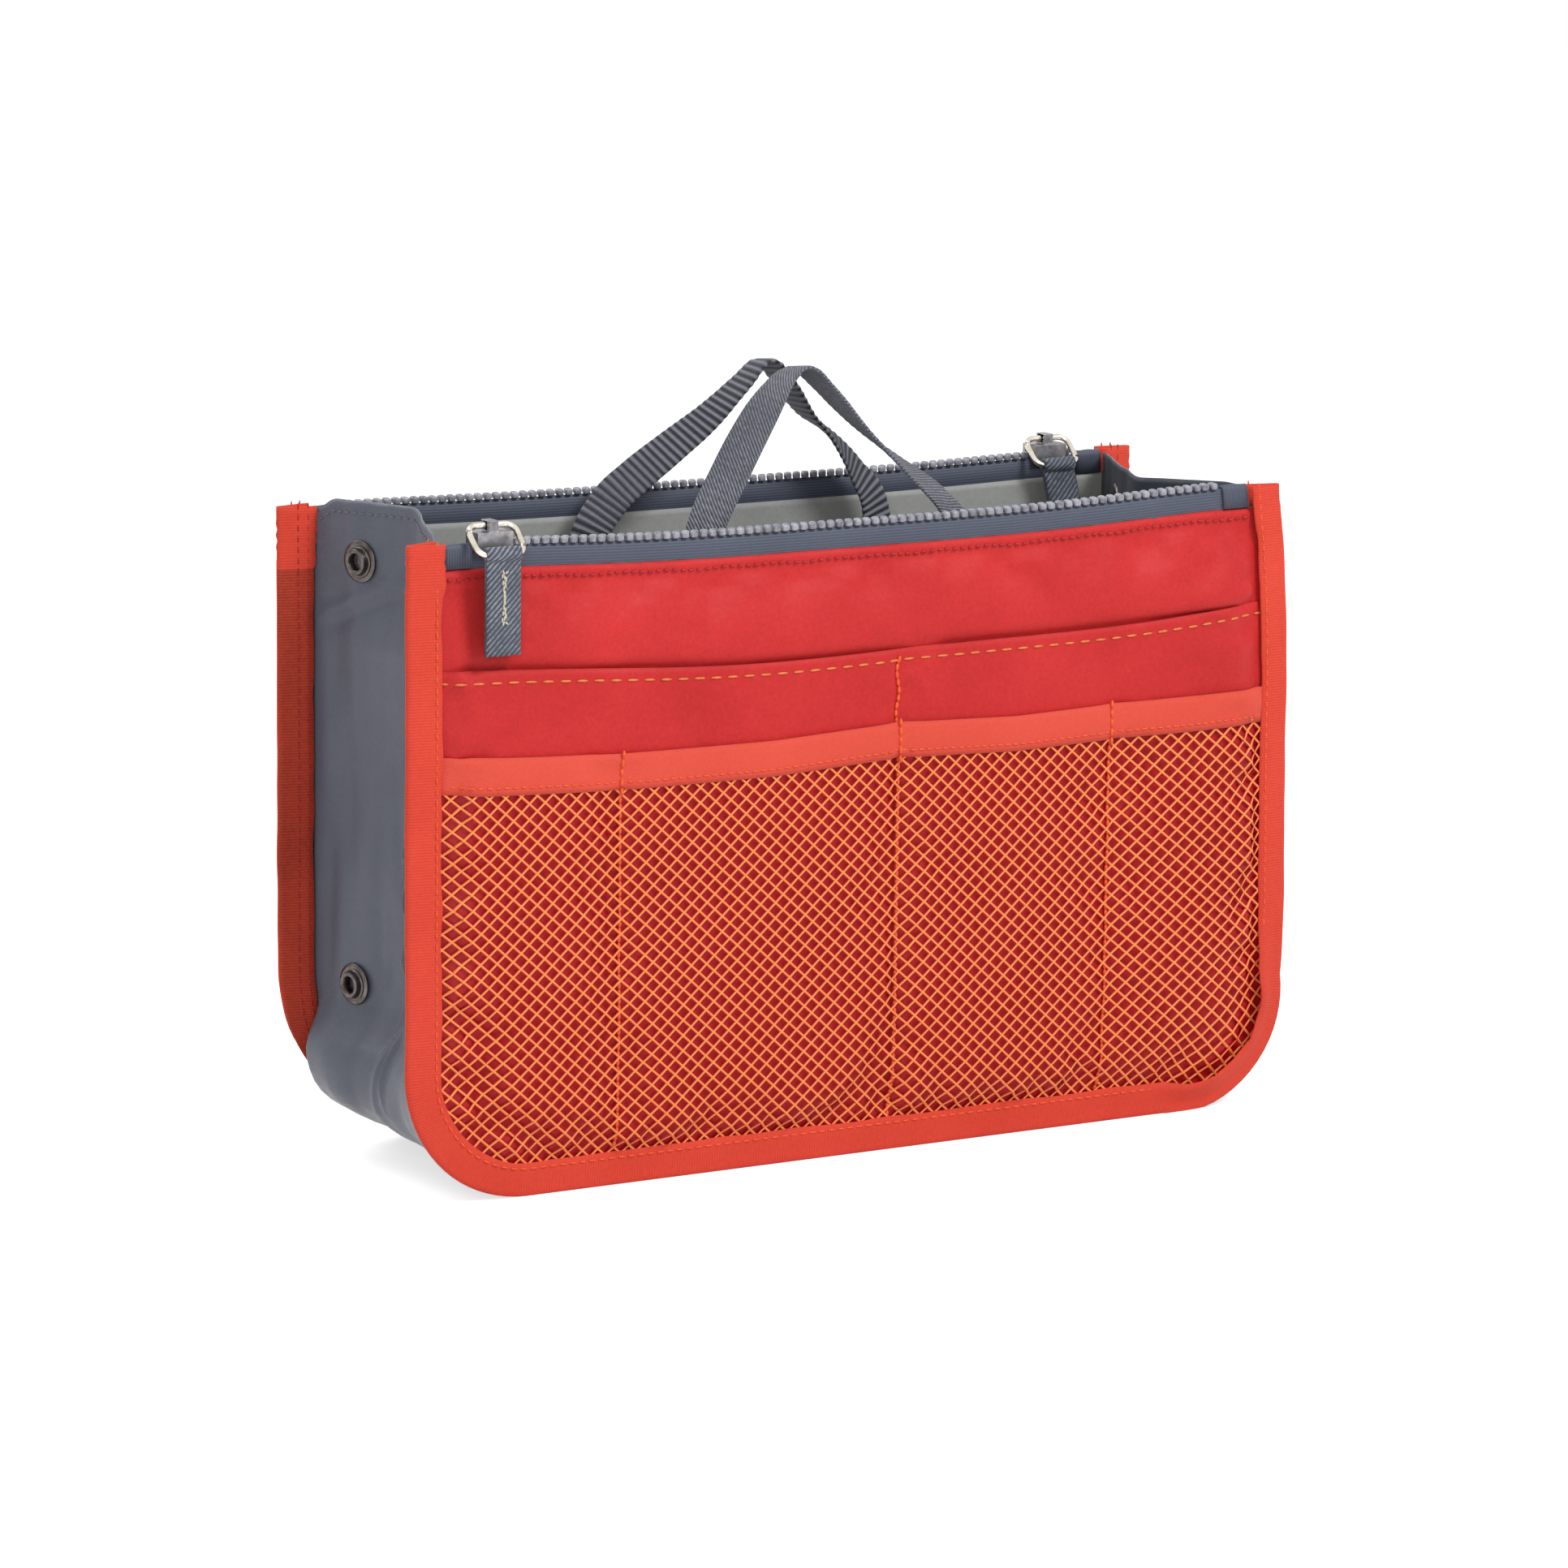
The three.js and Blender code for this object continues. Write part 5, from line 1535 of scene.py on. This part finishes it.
# %% The bottom strip
bottom_reach = half_length - corner_radius + 0.2
x, y = np.meshgrid(np.linspace(-bottom_reach, bottom_reach, 54),
                   np.linspace(-gusset_flange, gusset_flange, 24))
dip = 0.8 * ripple(stacked(x, 0, y), 30, 2.0) * smooth((gusset_flange - np.abs(y)) / 10)
level = gusset_wall + dip
outer, inner = [settle(stacked(x, y + middle, level + depth)) * MM for depth in (0, gusset_thickness)]
bottom = slab("bottom_strip", outer, inner, gray_nylon, np.stack([x, y], -1) * MM)
finish_piece("", "bottom_strip", bottom, ("bottom_gusset",), "back_half")
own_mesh(bottom)
print("bottom strip", round(2 * bottom_reach), "mm long")

# %% [markdown]
# Press studs are stamped and rolled metal, round about an axis, so each is a turned profile. The axis
# and the height of each one come from its CAD node, whose flattest direction is the stud's axis.

# %% Press studs
stud_sides = 40


def stud_axis(node):
    """Centre, outward axis and lowest place along it of a turned CAD node, in mm."""
    points = np.unique(np.round([v.co for v in frame["nodes"][node].data.vertices], 7), axis=0) / MM
    centre = points.mean(0)
    spread, ways = np.linalg.eigh(np.cov((points - centre).T))
    gaps = np.abs(np.diff(spread))
    axis = ways[:, 0] if gaps[0] > gaps[1] else ways[:, 2]
    if axis[0] * centre[0] < 0:
        axis = -axis
    return centre, axis, ((points - centre) @ axis).min()


def turned_piece(name, node, profile, finish):
    """A profile of (radius, height above the node's lowest place) turned round the node's axis."""
    centre, axis, low = stud_axis(node)
    first = np.cross(axis, (0, 0, 1))
    first /= np.linalg.norm(first)
    second = np.cross(axis, first)
    turns = np.linspace(0, 2 * np.pi, stud_sides, endpoint=False)
    spokes = [math.cos(t) * first + math.sin(t) * second for t in turns]
    rings = [[centre + axis * (low + height) + radius * spoke for spoke in spokes]
             for radius, height in profile]
    return loft(name, np.array(rings) * MM, finish, round_way=True)


def rounded_profile(corners, radius=0.25, steps=3):
    """Closed profile with each corner cut to a small arc."""
    out = []
    total = len(corners)
    for index in range(total):
        here = np.array(corners[index], float)
        before = np.array(corners[index - 1], float) - here
        after = np.array(corners[(index + 1) % total], float) - here
        cut = min(radius, 0.45 * np.linalg.norm(before), 0.45 * np.linalg.norm(after))
        start = here + before / np.linalg.norm(before) * cut
        end = here + after / np.linalg.norm(after) * cut
        for step in range(steps + 1):
            t = step / steps
            out.append((1 - t) ** 2 * start + 2 * t * (1 - t) * here + t**2 * end)
    return out


socket_profile = rounded_profile([(2.1, 0), (6.0, 0), (6.0, 0.55), (5.0, 0.95), (4.3, 0.7), (3.9, 1.0),
                                  (3.6, 2.6), (2.6, 2.6), (2.1, 1.6)])
for word in ("left", "right"):
    for level in ("upper", "lower"):
        node = f"{word}_{level}_socket"
        ring = turned_piece(f"{node}_ring", node, socket_profile, black_nickel)
        finish_piece("", f"{node}_ring", ring, (node,), "sockets")
        for kind, body in (("socket_cap", "sockets"), ("post", "posts"), ("post_cap", "posts")):
            node = f"{word}_{level}_{kind}"
            frame["nodes"][node].data.materials.clear()
            frame["nodes"][node].data.materials.append(black_nickel)
print("studs made")

# %% [markdown]
# Seams hold all of this together, and each is a row of thread on the cloth it crosses: orange along
# the front binding and on the net, dark red along the back binding and under the zip, amber along the
# slip pocket, gray on the inner pockets, and a cream zigzag on the pull tabs.

# %% Stitches
row_reach = half_length - 10.5
lining_rows = (2.2, 9.5)


def on_panel(panel, x, z, surface, lift=0.15):
    """Points in metres, lift mm above a surface of a panel."""
    return place(panel, stacked(x, surface(x, z) + lift, z))


for panel in ("front", "back"):
    path = outline_path(panel)
    seam = []
    for inset in (binding_width - 1.6, binding_width - 4.4):
        x, z = path[:, 0] + path[:, 2] * inset, path[:, 1] + path[:, 3] * inset
        for d in (binding_face + 0.1, binding_inner - 0.1):
            seam.append(place(panel, stacked(x, d, z)))
    if panel == "front":
        piece = stitches(seam[:2], orange_thread, 3.1, 2.4, 0.5)
    else:
        piece = stitches(seam, red_thread, 3.1, 2.4, 0.5)
    finish_piece(panel, "binding_stitches", piece)
    x = np.linspace(-row_reach, row_reach, 300)
    row = stitch_row + 1.2 + 0.3 * np.sin(x / 3.7) * np.sin(x / 11)
    piece = stitches([on_panel(panel, x, row, cloth_at, 0.2)], red_thread, 2.6, 2.1, 0.8)
    finish_piece(panel, "zip_stitches", piece)
    piece = stitches([on_panel(panel, x, pocket_top(x) - 3.4, slip_at, 0.12)], dash_thread, 5.2, 3.7, 0.7)
    finish_piece(panel, "pocket_stitches", piece)

print("stitches on both panels made")

# %% [markdown]
# The net pocket is sewn along its hem and down three upright seams that divide it. The middle seam
# runs on above the net, up the slip pocket.

# %% Seams of the net pocket
x = np.linspace(-row_reach, row_reach, 120)
rows = [place("front", stacked(x, hem_at(x, hem_upper(x) - 8) + 0.35, hem_upper(x) - 8.2))]
hem_stitches = stitches(rows, orange_thread, 2.6, 2.0, 0.5)
finish_piece("front", "hem_stitches", hem_stitches)
z = np.linspace(seam_top, hem_upper(np.array(seams[1])), 12)
seam_lines = [on_panel("front", seams[1] + 0.5 * np.sin(z / 2.1), z, slip_at, 0.4)]
for place_x in seams:
    hem_z = hem_upper(np.array(place_x))
    z = np.linspace(hem_z, hem_z - 11, 10)
    seam_lines.append(on_panel("front", place_x + 0 * z, z, hem_at, 0.5))
    z = np.linspace(hem_z - 11, 11, 50)
    seam_lines.append(on_panel("front", place_x + 0 * z, z, net_at, 0.0))
pocket_seams = stitches(seam_lines, orange_thread, 2.2, 2.5, 1.05)
finish_piece("front", "pocket_seams", pocket_seams)

print("seams of the net pocket made")

# %% [markdown]
# Two rows hold the hem of each inner pocket. A pull tab is sewn with a zigzag, so its points jump
# from side to side and the stitches between them slant.

# %% Stitches of the inner pockets and pull tabs
for panel in ("front", "back"):
    x = np.linspace(-half_length + 13, half_length - 13, 60)
    rows = []
    for drop in lining_rows:
        height = inner_pocket_top - drop
        rows.append(place(panel, stacked(x, pocket_inner - 0.15 - gape_at(x, height), height + 0 * x)))
    piece = stitches(rows, gray_thread, 2.8, 2.1, 0.5)
    finish_piece(panel, "lining_stitches", piece)
    low = joint_at[f"{panel}_tab_swing"]
    run = np.linspace(5, 19, 15)
    zigzag = 0.7 * np.where(np.arange(15) % 2 == 0, 1, -1)
    outward = -1 if panel == "front" else 1
    rows = []
    for share in (1.0, -0.4):
        across = low.x + tab_slant[panel] * run + zigzag * share
        rows.append(np.stack([across, low.y + outward * 1.05 + 0 * run, low.z - run], -1) * MM)
    piece = stitches(rows, cream_thread, 1.6, 1.5, 0.55)
    finish_piece(panel, "pull_stitches", piece, body=f"{panel}_tab")
print("pieces in all", len(pieces))

# %% [markdown]
# The studio is a white floor with soft lamps. To the camera and in reflections the floor is lifted to
# white, so that only the object's shadow stays, while its own light on the bag stays weak.

# %% Floor and world
ground = bpy.data.meshes.new("floor")
ground.from_pydata([(-3, -3, 0), (3, -3, 0), (3, 3, 0), (-3, 3, 0)], [], [(0, 1, 2, 3)])
floor = bpy.data.objects.new("floor", ground)
bpy.context.scene.collection.objects.link(floor)
paper = bpy.data.materials.new("white_paper")
paper.use_nodes = True
tree = paper.node_tree
tree.nodes.clear()
matte = add(tree, "ShaderNodeBsdfDiffuse", values={"Color": shade("#E6E6E6")})
lift = add(tree, "ShaderNodeEmission", values={"Strength": 0.66})
ray = add(tree, "ShaderNodeLightPath")
seen = add(tree, "ShaderNodeMath", {0: ray.outputs["Is Camera Ray"], 1: ray.outputs["Is Glossy Ray"]},
           operation="MAXIMUM")
lifted = add(tree, "ShaderNodeAddShader", {0: matte.outputs[0], 1: lift.outputs[0]})
mixed = add(tree, "ShaderNodeMixShader", {0: seen.outputs[0], 1: matte.outputs[0], 2: lifted.outputs[0]})
add(tree, "ShaderNodeOutputMaterial", {"Surface": mixed.outputs[0]})
ground.materials.append(paper)

world = bpy.data.worlds.new("studio")
bpy.context.scene.world = world
world.use_nodes = True
tree = world.node_tree
tree.nodes.clear()
ray = add(tree, "ShaderNodeLightPath")
seen = add(tree, "ShaderNodeMath", {0: ray.outputs["Is Camera Ray"], 1: ray.outputs["Is Glossy Ray"]},
           operation="MAXIMUM")
strength = add(tree, "ShaderNodeMapRange", {"Value": seen.outputs[0]}, {"To Min": 0.46, "To Max": 1.0})
glow = add(tree, "ShaderNodeBackground", {"Strength": strength.outputs[0]}, {"Color": (1, 1, 1, 1)})
add(tree, "ShaderNodeOutputWorld", {"Surface": glow.outputs[0]})


print("floor made of", len(ground.polygons), "face")

# %% [markdown]
# Three soft lamps light the bag: a strong one from the upper right, a weak one from the left and one
# from behind that lights the edges. Wide lamps give the soft shadows of a studio.

# %% Lamps


def lamp(name, at, power, width):
    """A square lamp of a width in metres that shines at the bag's middle."""
    light = bpy.data.lights.new(name, "AREA")
    light.energy = power
    light.size = width
    holder = bpy.data.objects.new(name, light)
    holder.location = at
    holder.rotation_euler = (Vector((0, 0, 0.09)) - Vector(at)).to_track_quat("-Z", "Y").to_euler()
    bpy.context.scene.collection.objects.link(holder)


lamp("key", (0.5, -1.2, 1.5), 21, 0.6)
lamp("fill", (-1.0, -1.4, 0.7), 4.5, 0.6)
lamp("rim", (-0.7, 1.1, 1.3), 11, 0.8)

print("lamps:", len(bpy.data.lights))

# %% [markdown]
# The camera stands where the photograph was taken from: its place, turn and lens were fitted to the
# corners of the panels.

# %% Camera
camera_at = (-0.9722, -1.6721 + middle * MM, 0.4738)
yaw, pitch, roll = math.radians(30.18), math.radians(10.91), math.radians(0.65)
ahead = Vector((math.sin(yaw) * math.cos(pitch), math.cos(yaw) * math.cos(pitch), -math.sin(pitch)))
level = Vector((math.cos(yaw), -math.sin(yaw), 0))
upward = level.cross(ahead)
right = level * math.cos(roll) + upward * math.sin(roll)
top = -level * math.sin(roll) + upward * math.cos(roll)
camera = bpy.data.cameras.new("camera")
camera.lens = 156.7
camera.sensor_width = 36
camera.clip_end = 20
viewer = bpy.data.objects.new("camera", camera)
bpy.context.scene.collection.objects.link(viewer)
columns = (right, top, -ahead, camera_at)
viewer.matrix_world = Matrix([[column[row] for column in columns] for row in range(3)] + [[0, 0, 0, 1]])
bpy.context.scene.camera = viewer
bpy.context.scene.view_settings.view_transform = "Standard"
print("camera", round(math.dist(camera_at, (0, 0, 0)), 2), "m away")

# %% [markdown]
# At the end the view layer is brought up to date.

# %% Update
bpy.context.view_layer.update()
